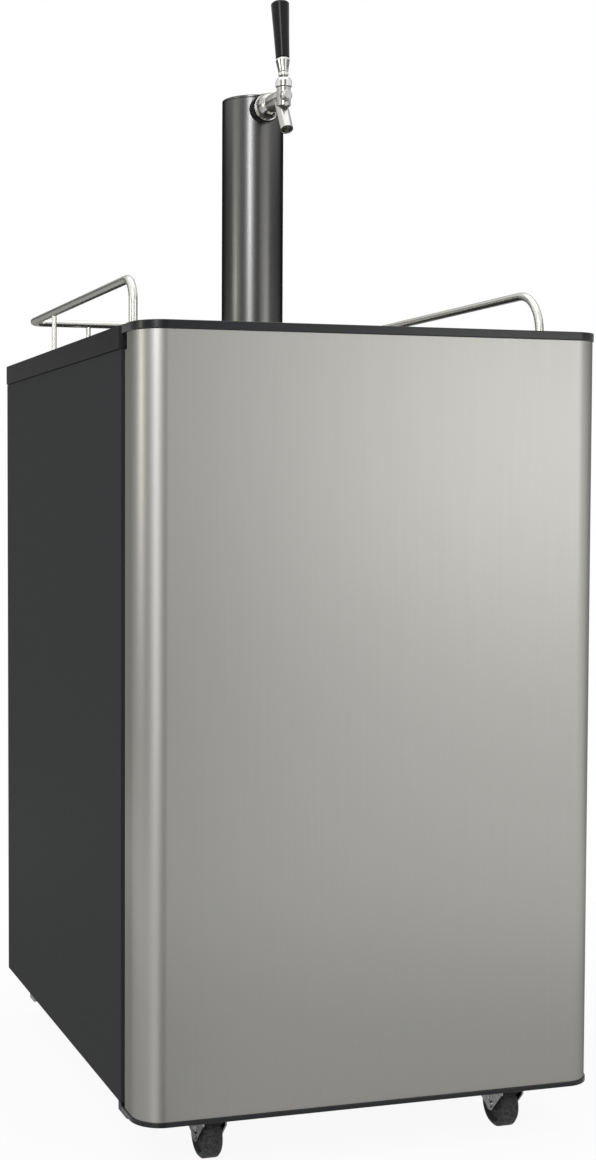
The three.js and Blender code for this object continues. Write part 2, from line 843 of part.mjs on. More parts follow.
function doorBottomCap() {
  const plate = upright(doorOutline(-capProud, capRearY), doorBottom, skinBottom);
  const plug = skinInside(skinBottom - gap, skinBottom + capPlug);
  const bush = bar(hingeX, hingeY, bushRadius, skinBottom - gap, bushTop);
  const pinHole = bar(
    hingeX, hingeY, bottomPinRadius + runningGap,
    doorBottom - overrun, doorBottom + bottomPinLength, smallSides,
  );
  return plate.add(plug).add(bush).subtract(pinHole);
}

// Top hinge: a tongue under the worktop, an arm and a barrel with its pin upwards.
function topHingeBracket() {
  const top = skinTop - 2 * gap;
  const low = top - barrelHeight;
  const barrel = bar(hingeX, hingeY, barrelRadius, low, top);
  const arm = block(hingeX - armWidth / 2, hingeX + armWidth / 2, hingeY, faceY - gap, low, top);
  const tongueZ = boardZ + gap;
  const lead = block(
    hingeX - armWidth / 2, hingeX + armWidth / 2,
    hingeY, faceY + tongueLength, tongueZ, tongueZ + tongueThickness,
  );
  const tongue = block(
    hingeX - armWidth / 2, hingeX + tongueWidth,
    faceY + gap, faceY + tongueLength, tongueZ, tongueZ + tongueThickness,
  );
  const pin = bar(hingeX, hingeY, topPinRadius, low, top + topPinLength - runningGap, smallSides);
  return joined(barrel, arm, lead, tongue, pin);
}

// Outline of the bottom hinge's plate seen from above.
function bracketOutline(rearY) {
  const left = -sideX + gap;
  const leftRadius = Math.min(hingeInset - gap, bracketRadius);
  const front = hingeY - bracketRadius;
  const shape = new THREE.Shape();
  shape.moveTo(left, rearY);
  shape.lineTo(left, front + leftRadius);
  shape.absarc(left + leftRadius, front + leftRadius, leftRadius, Math.PI, 1.5 * Math.PI);
  shape.lineTo(hingeX, front);
  shape.absarc(hingeX, hingeY, bracketRadius, -Math.PI / 2, 0);
  shape.lineTo(hingeX + bracketRadius, rearY);
  shape.closePath();
  return shape;
}

// Bottom hinge: a plate under the door, its tongue under the cabinet, the pin upwards.
function bottomHingeBracket() {
  const underDoor = doorBottom - runningGap;
  const low = underDoor - bracketThickness;
  const underCabinet = bottomZ - gap;
  const rearY = hingeY + bracketLength;
  const riseY = faceY - gap;
  const plate = upright(bracketOutline(rearY), low, underDoor);
  const rise = block(-sideX + gap, hingeX + bracketRadius, riseY, rearY, low, underCabinet);
  const tongue = block(
    hingeX - bracketRadius / 4, hingeX + bracketRadius,
    riseY, rearY + bracketTongue, underCabinet - bracketTongueThickness, underCabinet,
  );
  const pin = bar(
    hingeX, hingeY, bottomPinRadius,
    low + gap, doorBottom + bottomPinLength - 2 * runningGap, smallSides,
  );
  return plate.add(rise).add(tongue).add(pin);
}

// Tap tower on the worktop
const towerFootZ = topZ + gap + flangeThickness + gap;

function towerFlange() {
  const z0 = topZ + gap;
  const z1 = z0 + flangeThickness;
  const collar = towerRadius + gap;
  const profile = [
    [lineHole, z0], [flangeRadius, z0], [flangeRadius, z1], [collar + collarWall, z1],
    [collar + collarWall, z1 + collarHeight], [collar, z1 + collarHeight],
    [collar, z1], [lineHole, z1], [lineHole, z0],
  ];
  return solid(turned(profile, towerSides).translate(0, towerY, 0));
}

function towerTube() {
  const z1 = towerTop - towerCapThickness - gap;
  const inner = towerRadius - towerWall;
  const profile = [
    [inner, towerFootZ], [towerRadius, towerFootZ], [towerRadius, z1], [inner, z1], [inner, towerFootZ],
  ];
  const tube = solid(turned(profile, towerSides).translate(0, towerY, 0));
  const hole = rod(shankRadius + gap, towerY - towerRadius - overrun, towerY, roundSides);
  return tube.subtract(alongY(hole, 0, shankZ));
}

function towerCap() {
  const z0 = towerTop - towerCapThickness;
  const plug = towerRadius - towerWall - gap;
  const profile = [
    [0, z0 - towerCapPlug], [plug, z0 - towerCapPlug], [plug, z0], [towerRadius, z0],
    [towerRadius, towerTop], [0, towerTop],
  ];
  const nutRoom = block(
    -lockNutRadius - gap, lockNutRadius + gap,
    towerY - towerRadius, towerY + towerRadius,
    z0 - towerCapPlug - overrun, shankZ + lockNutRadius + gap,
  );
  return solid(turned(profile, towerSides).translate(0, towerY, 0)).subtract(nutRoom);
}

function towerInsulation() {
  const z0 = towerFootZ;
  const z1 = shankZ - lockNutRadius - overrun;
  const outer = towerRadius - towerWall - gap;
  const profile = [[sleeveBore, z0], [outer, z0], [outer, z1], [sleeveBore, z1], [sleeveBore, z0]];
  return solid(turned(profile, towerSides).translate(0, towerY, 0));
}

// Beer line: from the shank's rear end, down the tower, to its fitting below the ceiling.
function beerLine() {
  const startY = tapY + shankRear + gap;
  const downY = startY + lineLead + lineBend;
  const endZ = ceilingZ - lineDrop;
  const corners = [[0, startY, shankZ], [0, downY, shankZ], [0, downY, endZ]];
  const tube = bentTube(corners, lineRadius, lineBend, tubeSides);
  const fitting = bar(0, downY, fittingRadius, endZ - fittingLength, endZ, hexSides);
  return tube.add(fitting);
}

// Tap pieces, in a frame whose origin is where the shank's axis meets the tap's upright axis
const towerInTap = towerY - tapY;

function faucetShank() {
  const flangeFront = towerInTap - towerRadius - saddleThickness - gap - shankFlangeThickness;
  const profile = [
    [shankBore, shankFront], [shankRadius, shankFront], [shankRadius, flangeFront],
    [shankFlangeRadius, flangeFront], [shankFlangeRadius, flangeFront + shankFlangeThickness],
    [shankRadius, flangeFront + shankFlangeThickness], [shankRadius, shankRear],
    [shankBore, shankRear], [shankBore, shankFront],
  ];
  return alongY(turned(profile, roundSides), 0, 0);
}

// Black saddle between the shank's flange and the round tower.
function shankCollar() {
  const front = towerInTap - towerRadius - saddleThickness;
  const rear = front + saddleThickness + saddleRadius / 2;
  const profile = [
    [shankRadius + gap, front], [saddleRadius, front], [saddleRadius, rear],
    [shankRadius + gap, rear], [shankRadius + gap, front],
  ];
  const reach = saddleRadius + overrun;
  const tower = bar(0, towerInTap, towerRadius + gap, -reach, reach, towerSides);
  return alongY(turned(profile, roundSides), 0, 0).subtract(tower);
}

function couplingNut() {
  const rear = towerInTap - towerRadius - saddleThickness - shankFlangeThickness - 2 * gap;
  const neck = bodyNeckRadius + gap;
  const bore = shankRadius + gap;
  const lip = couplingFront + couplingLip;
  const profile = [
    [neck, couplingFront], [couplingRadius - couplingLip / 2, couplingFront], [couplingRadius, lip],
    [couplingRadius, rear], [bore, rear], [bore, lip], [neck, lip], [neck, couplingFront],
  ];
  return alongY(turned(profile, roundSides), 0, 0);
}

// Six-sided lock nut inside the tower.
function shankNut() {
  const inner = towerRadius - towerWall;
  const front = towerInTap - Math.sqrt(inner ** 2 - lockNutRadius ** 2) + gap;
  const bore = rod(shankRadius + gap, front - overrun, front + lockNutThickness + overrun);
  return alongY(rod(lockNutRadius, front, front + lockNutThickness, hexSides), 0, 0)
    .subtract(alongY(bore, 0, 0));
}

// A round bar in the tap's upright middle plane, between two points [y, z].
function slantedBar([y0, z0], [y1, z1], startRadius, endRadius) {
  const length = Math.hypot(y1 - y0, z1 - z0);
  const geometry = turned([[0, 0], [startRadius, 0], [endRadius, length], [0, length]], roundSides);
  geometry.rotateX(-Math.atan2(y1 - y0, z1 - z0));
  geometry.translate(0, y0, z0);
  return solid(geometry);
}

const tipOffset = leverArm * Math.sin(THREE.MathUtils.degToRad(leverLean));
const tipTravel = leverArm * Math.sin(THREE.MathUtils.degToRad(leverTravel - leverLean)) + tipOffset;

function faucetBody() {
  const flangeStart = couplingFront + couplingLip + gap;
  const profile = [
    [0, -noseLength], [noseRadius, -noseLength], [noseRadius, 0], [bodyConeFrontRadius, bodyConeStart],
    [bodyConeRadius, couplingFront - gap], [bodyNeckRadius, couplingFront - gap],
    [bodyNeckRadius, flangeStart], [bodyFlangeRadius, flangeStart],
    [bodyFlangeRadius, flangeStart + bodyFlangeThickness], [0, flangeStart + bodyFlangeThickness],
  ];
  const main = alongY(turned(profile, roundSides), 0, 0);
  const button = alongY(rod(buttonRadius, -noseLength - buttonLength, -noseLength + gap), 0, 0);
  const barrel = bar(0, 0, barrelBodyRadius, -barrelBodyBottom, barrelBodyTop);
  const spoutRoot = [spoutRootBehind, -spoutRootDrop];
  const spoutEnd = [-spoutReach, -spoutDrop];
  const spout = slantedBar(spoutRoot, spoutEnd, spoutRootRadius, spoutRadius);
  const webFoot = [couplingFront - webStart, 0];
  const web = slantedBar(webFoot, [webEnd, webRise], webStartRadius, webEndRadius);
  const slant = [(spoutEnd[0] - spoutRoot[0]) / spoutDrop, (spoutEnd[1] - spoutRoot[1]) / spoutDrop];
  const past = [spoutEnd[0] + slant[0] * overrun, spoutEnd[1] + slant[1] * overrun];
  const spoutBore = slantedBar(spoutRoot, past, spoutRootRadius - spoutWall, spoutRadius - spoutWall);
  const bore = alongY(rod(boreRadius, -boreFront, flangeStart + bodyFlangeThickness + overrun), 0, 0);
  const tip = leverTipRadius + runningGap;
  const stem = leverStemRadius + runningGap;
  const slope = Math.tan(THREE.MathUtils.degToRad(leverTravel - leverLean));
  const lowSlot = block(
    -tip, tip, -tipOffset - tip, tipTravel - tipOffset + tip, 0, barrelBodyRadius - spoutWall / 4,
  );
  const stemReach = (pivotHeight - barrelBodyRadius) * slope + stem;
  const highSlot = block(-tip, tip, -stemReach, stemReach, 0, barrelBodyTop + overrun);
  return joined(main, button, barrel, web, spout)
    .subtract(bore)
    .subtract(spoutBore)
    .subtract(lowSlot)
    .subtract(highSlot);
}

// Valve shaft: a rod with a pocket on top for the lever's tip.
function valveShaft() {
  const shaft = alongY(rod(shaftRadius, -shaftFront, shaftRear), 0, 0);
  const tip = leverTipRadius + runningGap;
  const pocket = block(
    -tip, tip, -tipOffset - tip, -tipOffset + tip,
    shaftSlotFloor, shaftRadius + overrun,
  );
  return shaft.subtract(pocket);
}

function faucetBonnet() {
  const z0 = barrelBodyTop + gap;
  const z1 = z0 + bonnetHeight;
  const profile = [
    [bonnetBore, z0], [bonnetRadius, z0], [bonnetRadius, z1 - bonnetChamfer],
    [bonnetBore + runningGap, z1], [bonnetBore, z1], [bonnetBore, z0],
  ];
  return solid(turned(profile, roundSides));
}

// Points [radius, height] of a ball's outline between two angles in degrees from its south pole.
function ballProfile(radius, centre, from, to, steps) {
  const points = [];
  for (let i = 0; i <= steps; i++) {
    const angle = THREE.MathUtils.degToRad(from + ((to - from) * i) / steps);
    points.push([radius * Math.sin(angle), centre - radius * Math.cos(angle)]);
  }
  return points;
}

// Lever, in a frame whose origin is its pivot: tip, stem, pivot ball, collar and stud.
function tapLever() {
  const tipEnd = halfTurn - THREE.MathUtils.radToDeg(Math.asin(leverStemRadius / leverTipRadius));
  const ballStart = THREE.MathUtils.radToDeg(Math.asin(leverStemRadius / leverBallRadius));
  const ballEnd = halfTurn - THREE.MathUtils.radToDeg(Math.asin(leverStudRadius / leverBallRadius));
  const tip = ballProfile(leverTipRadius, -leverArm, 0, tipEnd, bendSteps);
  const ball = ballProfile(leverBallRadius, 0, ballStart, ballEnd, arcSteps);
  const profile = [
    ...tip, ...ball,
    [leverStudRadius, leverCollarStart], [leverCollarRadius, leverCollarStart + gap],
    [leverCollarRadius, leverCollarEnd], [leverStudRadius, leverCollarEnd],
    [leverStudRadius, leverStudEnd], [0, leverStudEnd],
  ];
  return solid(turned(profile, roundSides));
}

const ferruleStart = leverCollarEnd + gap;
const ferruleEnd = ferruleStart + ferruleLength;

function handleFerrule() {
  const bore = leverStudRadius + gap;
  const boreEnd = leverStudEnd + gap;
  const profile = [
    [bore, ferruleStart], [ferruleFootRadius, ferruleStart], [ferruleTopRadius, ferruleEnd],
    [0, ferruleEnd], [0, boreEnd], [bore, boreEnd], [bore, ferruleStart],
  ];
  return solid(turned(profile, roundSides));
}

function tapHandle() {
  const z0 = ferruleEnd + gap;
  const z1 = z0 + handleLength - handleDome;
  const profile = [
    [0, z0], [handleFootRadius, z0], [handleTopRadius, z1],
    [handleTopRadius - handleDome, z1 + handleDome], [0, z1 + handleDome],
  ];
  return solid(turned(profile, roundSides));
}

// Drip tray and its grille, in front of the tower
const trayY1 = towerY - trayBehind;
const trayY0 = trayY1 - trayDepth;
const trayZ0 = topZ + gap;
const trayZ1 = trayZ0 + trayHeight;
const ledgeWidth = trayWall * 2;

function trayOutline(inset) {
  const x = trayWidth / 2 - inset;
  return roundedRectangle(-x, x, trayY0 + inset, trayY1 - inset, trayCorner - inset);
}

function dripTray() {
  const grilleTop = trayZ1 - grilleDrop;
  const ledge = grilleTop - grilleThickness - gap;
  return upright(trayOutline(0), trayZ0, trayZ1)
    .subtract(upright(trayOutline(trayWall), ledge, trayZ1 + overrun))
    .subtract(upright(trayOutline(trayWall + ledgeWidth), trayZ0 + trayWall, ledge + overrun));
}

function dripGrille() {
  const top = trayZ1 - grilleDrop;
  const shape = trayOutline(trayWall + gap);
  const pitch = (trayWidth - 2 * slotMargin) / slotCount;
  for (let i = 0; i < slotCount; i++) {
    const x = -trayWidth / 2 + slotMargin + pitch * (i + 1 / 2);
    shape.holes.push(roundedRectangle(
      x - slotWidth / 2, x + slotWidth / 2,
      trayY0 + slotMargin, trayY1 - slotMargin, slotWidth / 3,
    ));
  }
  const geometry = new THREE.ExtrudeGeometry(shape, {
    depth: grilleThickness,
    bevelEnabled: false,
    curveSegments: slotSteps,
  });
  return solid(geometry.translate(0, 0, top - grilleThickness));
}

// Machine space
const plateTop = bottomZ + basePlateThickness;
const plateY0 = machineFront + sheet + gap;
const plateY1 = backY - sheet - gap;
const compressorY = (plateY0 + plateY1) / 2;
const shellZ0 = plateTop + compressorFoot + footPlateThickness;
const shellZ1 = shellZ0 + compressorHeight;

// A flat oval seen from above, wider than deep.
function oval(width, depth, grow) {
  const x = width / 2 + grow;
  const y = depth / 2 + grow;
  return roundedRectangle(-x, x, -y, y, y - gap);
}

// Base rail: carries the compressor and the rear casters, with its front edge folded up.
function compressorPlate() {
  const plate = block(-shellX, shellX, plateY0, plateY1, bottomZ, plateTop);
  const foldTop = plateTop + basePlateFlange;
  const fold = block(-shellX, shellX, plateY0, plateY0 + basePlateThickness, bottomZ, foldTop);
  const glandX = sideX - glandSide;
  const tab = block(
    glandX - 2 * glandRadius, glandX + 2 * glandRadius,
    plateY1 - basePlateThickness, plateY1, bottomZ, plateTop + 4 * glandRadius,
  );
  const hole = rod(glandRadius / 2 + gap, plateY1 - overrun, plateY1 + overrun, smallSides);
  return joined(plate, fold, tab).subtract(alongY(hole, glandX, plateTop + 2 * glandRadius));
}

// Compressor: a welded oval shell with rounded ends on a footed plate.
function compressor() {
  const shell = new THREE.ExtrudeGeometry(oval(compressorWidth, compressorDepth, -compressorRound), {
    depth: compressorHeight - 2 * compressorRound,
    bevelSize: compressorRound,
    bevelThickness: compressorRound,
    bevelSegments: bendSteps / 2,
    curveSegments: bendSteps,
  }).translate(0, 0, shellZ0 + compressorRound);
  const seamZ = (shellZ0 + shellZ1) / 2;
  const seam = upright(
    oval(compressorWidth, compressorDepth, compressorSeam),
    seamZ - compressorSeamHeight / 2, seamZ + compressorSeamHeight / 2,
  );
  const x = compressorWidth / 2 + footPlateMargin;
  const y = compressorDepth / 2 - gap;
  const foot = block(-x, x, -y, y, shellZ0 - footPlateThickness, shellZ0 + gap);
  let whole = joined(solid(shell), seam, foot);
  for (const fx of [-x + footPlateMargin, x - footPlateMargin]) {
    for (const fy of [-y + footPlateMargin, y - footPlateMargin]) {
      whole = whole.add(bar(fx, fy, footPlateMargin / 2, plateTop + gap, shellZ0, smallSides));
    }
  }
  return whole;
}

// Relay cover on the compressor's right side.
function relayCover() {
  const x0 = compressorWidth / 2 + compressorSeam + gap;
  const z0 = shellZ0 + compressorRound;
  return block(x0, x0 + relayWidth, -relayDepth / 2, relayDepth / 2, z0, z0 + relayHeight);
}

// Open pan on top of the compressor, where the melt water dries off.
function evaporationPan() {
  const z0 = shellZ1 + gap;
  const outline = (inset) => roundedRectangle(
    -panWidth / 2 + inset, panWidth / 2 - inset,
    -panDepth / 2 + inset, panDepth / 2 - inset, panHeight / 2,
  );
  return upright(outline(0), z0, z0 + panHeight)
    .subtract(upright(outline(panWall), z0 + panWall, z0 + panHeight + overrun));
}

// Condenser: one tube in long passes behind the back panel, on two straps with feet.
const coilY = backPanelY + sheet + coilStandOff;
const coilZ0 = machineRoof + coilRise;
const coilZ1 = panelTop - coilDrop;
const coilPitch = (coilZ1 - coilZ0) / (coilPasses - 1);
const drierX = -sideX + drierSide;
const drierZ0 = plateTop + compressorFoot + coilRise;
const drierZ1 = drierZ0 + drierLength + 2 * drierNeckLength;

function condenserCoil() {
  const x = sideX - coilSide;
  const corners = [[drierX, coilY, drierZ1 + gap], [drierX, coilY, coilZ0]];
  for (let pass = 0; pass < coilPasses; pass++) {
    const z = coilZ0 + coilPitch * pass;
    const end = pass % 2 === 0 ? x : -x;
    if (pass > 0) corners.push([-end, coilY, z]);
    if (pass < coilPasses - 1) corners.push([end, coilY, z]);
    else corners.push([end + (end < 0 ? coilPitch : -coilPitch), coilY, z]);
  }
  const bends = corners.map(() => coilPitch / 2 - gap);
  bends[0] = pipeBend;
  let coil = bentTube(corners, coilRadius, bends, coilSides);
  for (const sx of [-x + strapInset, x - strapInset]) {
    const strap = block(
      sx - strapWidth / 2, sx + strapWidth / 2,
      coilY - coilRadius, coilY - coilRadius + strapThickness,
      coilZ0 - coilPitch / 2, coilZ1 + coilPitch / 2,
    );
    coil = coil.add(strap);
    for (const fz of [coilZ0 - coilPitch / 2, coilZ1 + coilPitch / 2 - footingLength]) {
      coil = coil.add(block(
        sx - strapWidth / 2, sx + strapWidth / 2,
        backPanelY + sheet + gap, coilY - coilRadius + strapThickness, fz, fz + footingLength,
      ));
    }
  }
  return coil;
}

// Copper filter drier below the coil's end.
function filterDrier() {
  const z = drierZ0 + drierNeckLength;
  const profile = [
    [0, drierZ0], [drierNeck, drierZ0], [drierNeck, z], [drierRadius, z + drierNeckLength],
    [drierRadius, z + drierLength - drierNeckLength], [drierNeck, z + drierLength],
    [drierNeck, drierZ1], [0, drierZ1],
  ];
  return solid(turned(profile, smallSides).translate(drierX, coilY, 0));
}

// Discharge pipe from the drier's lower end to the compressor's left side.
function refrigerantPipe() {
  const endX = compressorOffset - compressorWidth / 2 - gap;
  const low = plateTop + pipeRadius + 2 * pipeBend + compressorRound;
  const z = drierZ0 - pipeBend;
  const riseX = (drierX + endX) / 2;
  const high = z + compressorRound + pipeBend;
  const corners = [
    [drierX, coilY, drierZ0 - gap], [drierX, coilY, low],
    [riseX, coilY, low], [riseX, compressorY, low],
    [riseX, compressorY, high], [endX, compressorY, high],
  ];
  return bentTube(corners, pipeRadius, pipeBend - gap, smallSides / 2);
}

// Gland where the mains lead would leave, in the base rail's tab.
function cordGland() {
  const neck = glandRadius / 2;
  const front = plateY1 - basePlateThickness - gap;
  const rear = plateY1 + gap;
  const outside = backY - rear;
  const profile = [
    [glandBore, front - glandLength], [neck, front - glandLength], [glandRadius, front - glandLength / 2],
    [glandRadius, front], [neck, front], [neck, rear], [glandRadius - neck / 2, rear],
    [glandRadius - neck / 2, rear + outside], [glandBore, rear + outside],
    [glandBore, front - glandLength],
  ];
  return alongY(turned(profile, smallSides), sideX - glandSide, plateTop + 2 * glandRadius);
}

// Caster, in a frame whose origin is on the floor under its swivel axis. The wheel is towards -Y.
function casterPlate() {
  const z1 = mountTop;
  const z0 = z1 - mountThickness;
  const plate = block(-mountWidth / 2, mountWidth / 2, -mountDepth / 2, mountDepth / 2, z0, z1);
  const cup = bar(0, 0, cupRadius, crownTop + runningGap, z0 + gap);
  return plate.add(cup);
}

const brakeSlope = brakeDistance * Math.SQRT1_2;
const brakeY = -trail - brakeSlope;
const brakeZ = axleZ + brakeSlope;

// Outline [y, z] of the fork's side plate, with an ear for the brake's pin on a braked caster.
function forkOutline(braked) {
  const low = axleZ - forkEye;
  const shoulder = crownTop - 4 * crownThickness;
  const outline = [
    [crownRadius, crownTop], [crownRadius, shoulder],
    [-trail + forkEye, low + forkEye / 2], [-trail + forkEye / 2, low],
    [-trail - forkEye / 2, low], [-trail - forkEye, low + forkEye / 2],
  ];
  if (braked) {
    outline.push([brakeY - earRadius, brakeZ - earRadius]);
    outline.push([brakeY - earRadius, brakeZ + earRadius / 2]);
    outline.push([brakeY + earRadius, brakeZ + earRadius / 2]);
  } else {
    outline.push([-trail - forkEye, axleZ + forkEye]);
  }
  outline.push([-crownRadius, crownTop]);
  return outline;
}

function casterFork(braked) {
  const inside = forkInside / 2;
  const outside = inside + forkPlate;
  const outline = forkOutline(braked);
  const bridge = block(-outside, outside, -crownRadius, crownRadius, crownTop - crownThickness, crownTop);
  const cover = bar(0, 0, crownRadius, crownTop - crownThickness, crownTop);
  const head = outside + axleHeadThickness;
  const axle = alongX(rod(axleRadius, -head, head, smallSides), -trail, axleZ);
  const heads = [-1, 1].map((side) => {
    const ends = [side * outside - side * gap, side * head].sort((a, b) => a - b);
    return alongX(rod(axleHeadRadius, ...ends, smallSides), -trail, axleZ);
  });
  const plates = [crosswise(outline, -outside, -inside), crosswise(outline, inside, outside)];
  const fork = joined(bridge, cover, axle, ...heads, ...plates);
  if (!braked) return fork;
  return fork.add(alongX(rod(brakePinRadius, -outside, outside, smallSides), brakeY, brakeZ));
}

function casterWheel() {
  const half = wheelWidth / 2;
  const hub = hubWidth / 2;
  const profile = [
    [wheelBore, -hub], [hubRadius, -hub], [hubRadius + treadRound, -half + treadRound],
    [wheelRadius - 2 * treadRound, -half + treadRound], [wheelRadius - treadRound, -half],
    [wheelRadius, -half + treadRound], [wheelRadius, half - treadRound],
    [wheelRadius - treadRound, half], [wheelRadius - 2 * treadRound, half - treadRound],
    [hubRadius + treadRound, half - treadRound], [hubRadius, hub], [wheelBore, hub], [wheelBore, -hub],
  ];
  const geometry = turned(profile, wheelSides).rotateZ(Math.PI / wheelSides);
  return alongX(geometry, -trail, axleZ);
}

// Brake: a boss on its pin, a shoe towards the tread and a pedal up to the front.
function casterBrake() {
  const half = brakeWidth / 2;
  const boss = alongX(rod(brakeBoss, -half, half, smallSides), brakeY, brakeZ);
  const towardsWheel = -Math.PI / 4;
  const shoeAngle = towardsWheel - Math.PI / 6;
  const shoe = alongX(
    rod(brakeShoe, -half, half, smallSides),
    brakeY + brakeShoeArm * Math.cos(shoeAngle), brakeZ + brakeShoeArm * Math.sin(shoeAngle),
  );
  const outline = [
    [brakeY, brakeZ - pedalThickness], [brakeY, brakeZ + pedalThickness],
    [-pedalTip + pedalThickness, pedalTipHeight], [-pedalTip, pedalTipHeight - pedalThickness / 2],
    [-pedalTip, pedalTipHeight - pedalThickness],
  ];
  const pedal = crosswise(outline, -half, half);
  const drill = rod(brakePinRadius + gap, -half - overrun, half + overrun, smallSides);
  return joined(boss, shoe, pedal).subtract(alongX(drill, brakeY, brakeZ));
}

function caster(place, x, y, braked) {
  const parts = [
    piece(`caster_plate_${place}`, casterPlate(), zinc),
    piece(`caster_fork_${place}`, casterFork(braked), chrome),
    piece(`caster_wheel_${place}`, casterWheel(), rubber),
  ];
  if (braked) parts.push(piece(`caster_brake_${place}`, casterBrake(), blackPlastic));
  return group(x, y, 0, ...parts);
}

function cabinetGroup() {
  return group(
    0, 0, 0,
    piece("side_panel_left", sidePanel(-1), greyPaint),
    piece("side_panel_right", sidePanel(1), greyPaint),
    piece("back_panel", backPanel(), greyPaint),
    piece("base_pan", basePan(), zinc),
    piece("insulation_foam", insulationFoam(), foam),
    piece("inner_liner", innerLiner(), darkLiner),
    piece("worktop", worktop(), blackPlastic),
    piece("guard_rail", guardRail(), satinSteel),
    piece("keg_floor_plate", kegFloorPlate(), zinc),
    piece("evaporator_plate", evaporatorPlate(), aluminium),
    piece("thermostat_housing", thermostatHousing(), darkLiner),
    piece("thermostat_knob", thermostatKnob(), blackPlastic),
    piece("top_hinge_bracket", topHingeBracket(), glossBlack),
    piece("bottom_hinge_bracket", bottomHingeBracket(), blackPaint),
  );
}

function machineGroup() {
  return group(
    0, 0, 0,
    piece("compressor_plate", compressorPlate(), zinc),
    piece("condenser_coil", condenserCoil(), blackPaint),
    piece("filter_drier", filterDrier(), copper),
    piece("refrigerant_pipe", refrigerantPipe(), copper),
    piece("cord_gland", cordGland(), blackPlastic),
    group(
      compressorOffset, compressorY, 0,
      piece("compressor", compressor(), blackPaint),
      piece("relay_cover", relayCover(), blackPlastic),
      piece("evaporation_pan", evaporationPan(), blackPlastic),
    ),
  );
}

function doorGroup() {
  return group(
    0, 0, 0,
    piece("door_skin", doorSkin(), stainless),
    piece("door_foam", doorFoam(), foam),
    piece("door_liner", doorLiner(), darkLiner),
    piece("door_gasket", doorGasket(), rubber),
    piece("door_top_cap", doorTopCap(), blackPlastic),
    piece("door_bottom_cap", doorBottomCap(), blackPlastic),
  );
}

function towerGroup() {
  return group(
    0, 0, 0,
    piece("tower_flange", towerFlange(), smokedSteel),
    piece("tower_tube", towerTube(), smokedSteel),
    piece("tower_cap", towerCap(), smokedSteel),
    piece("tower_insulation", towerInsulation(), foam),
    piece("beer_line", beerLine(), paleTube),
  );
}

function tapGroup() {
  const lever = group(
    0, 0, pivotHeight,
    piece("tap_lever", tapLever(), chrome),
    piece("handle_ferrule", handleFerrule(), chrome),
    piece("tap_handle", tapHandle(), glossBlack),
  );
  lever.rotation.x = -THREE.MathUtils.degToRad(leverLean);
  return group(
    0, tapY, shankZ,
    piece("faucet_shank", faucetShank(), chrome),
    piece("shank_collar", shankCollar(), glossBlack),
    piece("shank_nut", shankNut(), chrome),
    piece("coupling_nut", couplingNut(), chrome),
    piece("faucet_body", faucetBody(), chrome),
    piece("valve_shaft", valveShaft(), satinSteel),
    piece("faucet_bonnet", faucetBonnet(), chrome),
    lever,
  );
}

function trayGroup() {
  return group(
    0, 0, 0,
    piece("drip_tray", dripTray(), blackPlastic),
    piece("drip_grille", dripGrille(), satinSteel),
  );
}

function casterGroup() {
  const x = sideX - casterInset;
  const frontAxis = faceY + frontCasterSetback;
  const rearAxis = backY - rearCasterInset;
  return group(
    0, 0, 0,
    caster("front_left", -x, frontAxis, true),
    caster("front_right", x, frontAxis, true),
    caster("rear_left", -x, rearAxis, false),
    caster("rear_right", x, rearAxis, false),
  );
}

const kegerator = group(
  0, 0, 0,
  cabinetGroup(), machineGroup(), doorGroup(), towerGroup(), tapGroup(), trayGroup(), casterGroup(),
);

export default kegerator;
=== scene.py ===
"""Looks of a kegerator with one tap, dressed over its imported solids.

Each sub-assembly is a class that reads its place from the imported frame, builds its pieces there
and hands them over with a finish. All sizes are in metres.
"""

import logging
import math
from dataclasses import dataclass
from enum import Enum
from typing import Sequence

import bmesh
import bpy
from mathutils import Matrix, Vector


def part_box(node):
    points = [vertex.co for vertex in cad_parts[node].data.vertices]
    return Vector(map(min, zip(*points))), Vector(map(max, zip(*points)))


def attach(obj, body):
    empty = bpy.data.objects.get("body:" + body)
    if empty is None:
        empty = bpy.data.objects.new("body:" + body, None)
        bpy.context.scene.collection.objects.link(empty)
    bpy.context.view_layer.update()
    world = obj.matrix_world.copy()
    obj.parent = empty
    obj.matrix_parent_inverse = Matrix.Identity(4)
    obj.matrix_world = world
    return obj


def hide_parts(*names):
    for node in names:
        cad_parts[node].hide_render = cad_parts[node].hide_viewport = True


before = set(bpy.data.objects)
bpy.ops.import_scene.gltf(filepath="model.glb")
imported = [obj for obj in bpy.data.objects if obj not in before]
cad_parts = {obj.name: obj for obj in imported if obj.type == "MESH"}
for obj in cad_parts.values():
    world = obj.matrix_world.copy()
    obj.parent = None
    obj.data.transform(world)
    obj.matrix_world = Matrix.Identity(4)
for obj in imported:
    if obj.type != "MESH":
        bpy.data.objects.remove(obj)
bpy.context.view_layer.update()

LOG = logging.getLogger("kegerator")

Pair = tuple[float, float]
Triple = tuple[float, float, float]
Outline = tuple[Pair, ...]  # points of radius and height
Spot = tuple[Triple, Triple]  # a place and a facing
Node = bpy.types.Node
Socket = bpy.types.NodeSocket
Tree = bpy.types.NodeTree
Mesh = bpy.types.Mesh
Object = bpy.types.Object

MM = 0.001
IDENTITY = Matrix.Identity(4)
SIDEWAYS = Vector((1, 0, 0))
FULL_TURN = 2 * math.pi
SEAT = 0.3 * MM  # the small gap that the solids keep between fastened pieces


class Axis(Enum):
    """The direction in which a turned shape's heights run, with the turn that lays it there."""

    X = (math.pi / 2, "Y")
    Y = (-math.pi / 2, "X")
    Z = (0.0, "Z")

    def place(self, origin: Sequence[float]) -> Matrix:
        """Gives the matrix that lays a turned shape along this axis, from its height zero."""
        angle, about = self.value
        return Matrix.Translation(Vector(origin)) @ Matrix.Rotation(angle, 4, about)


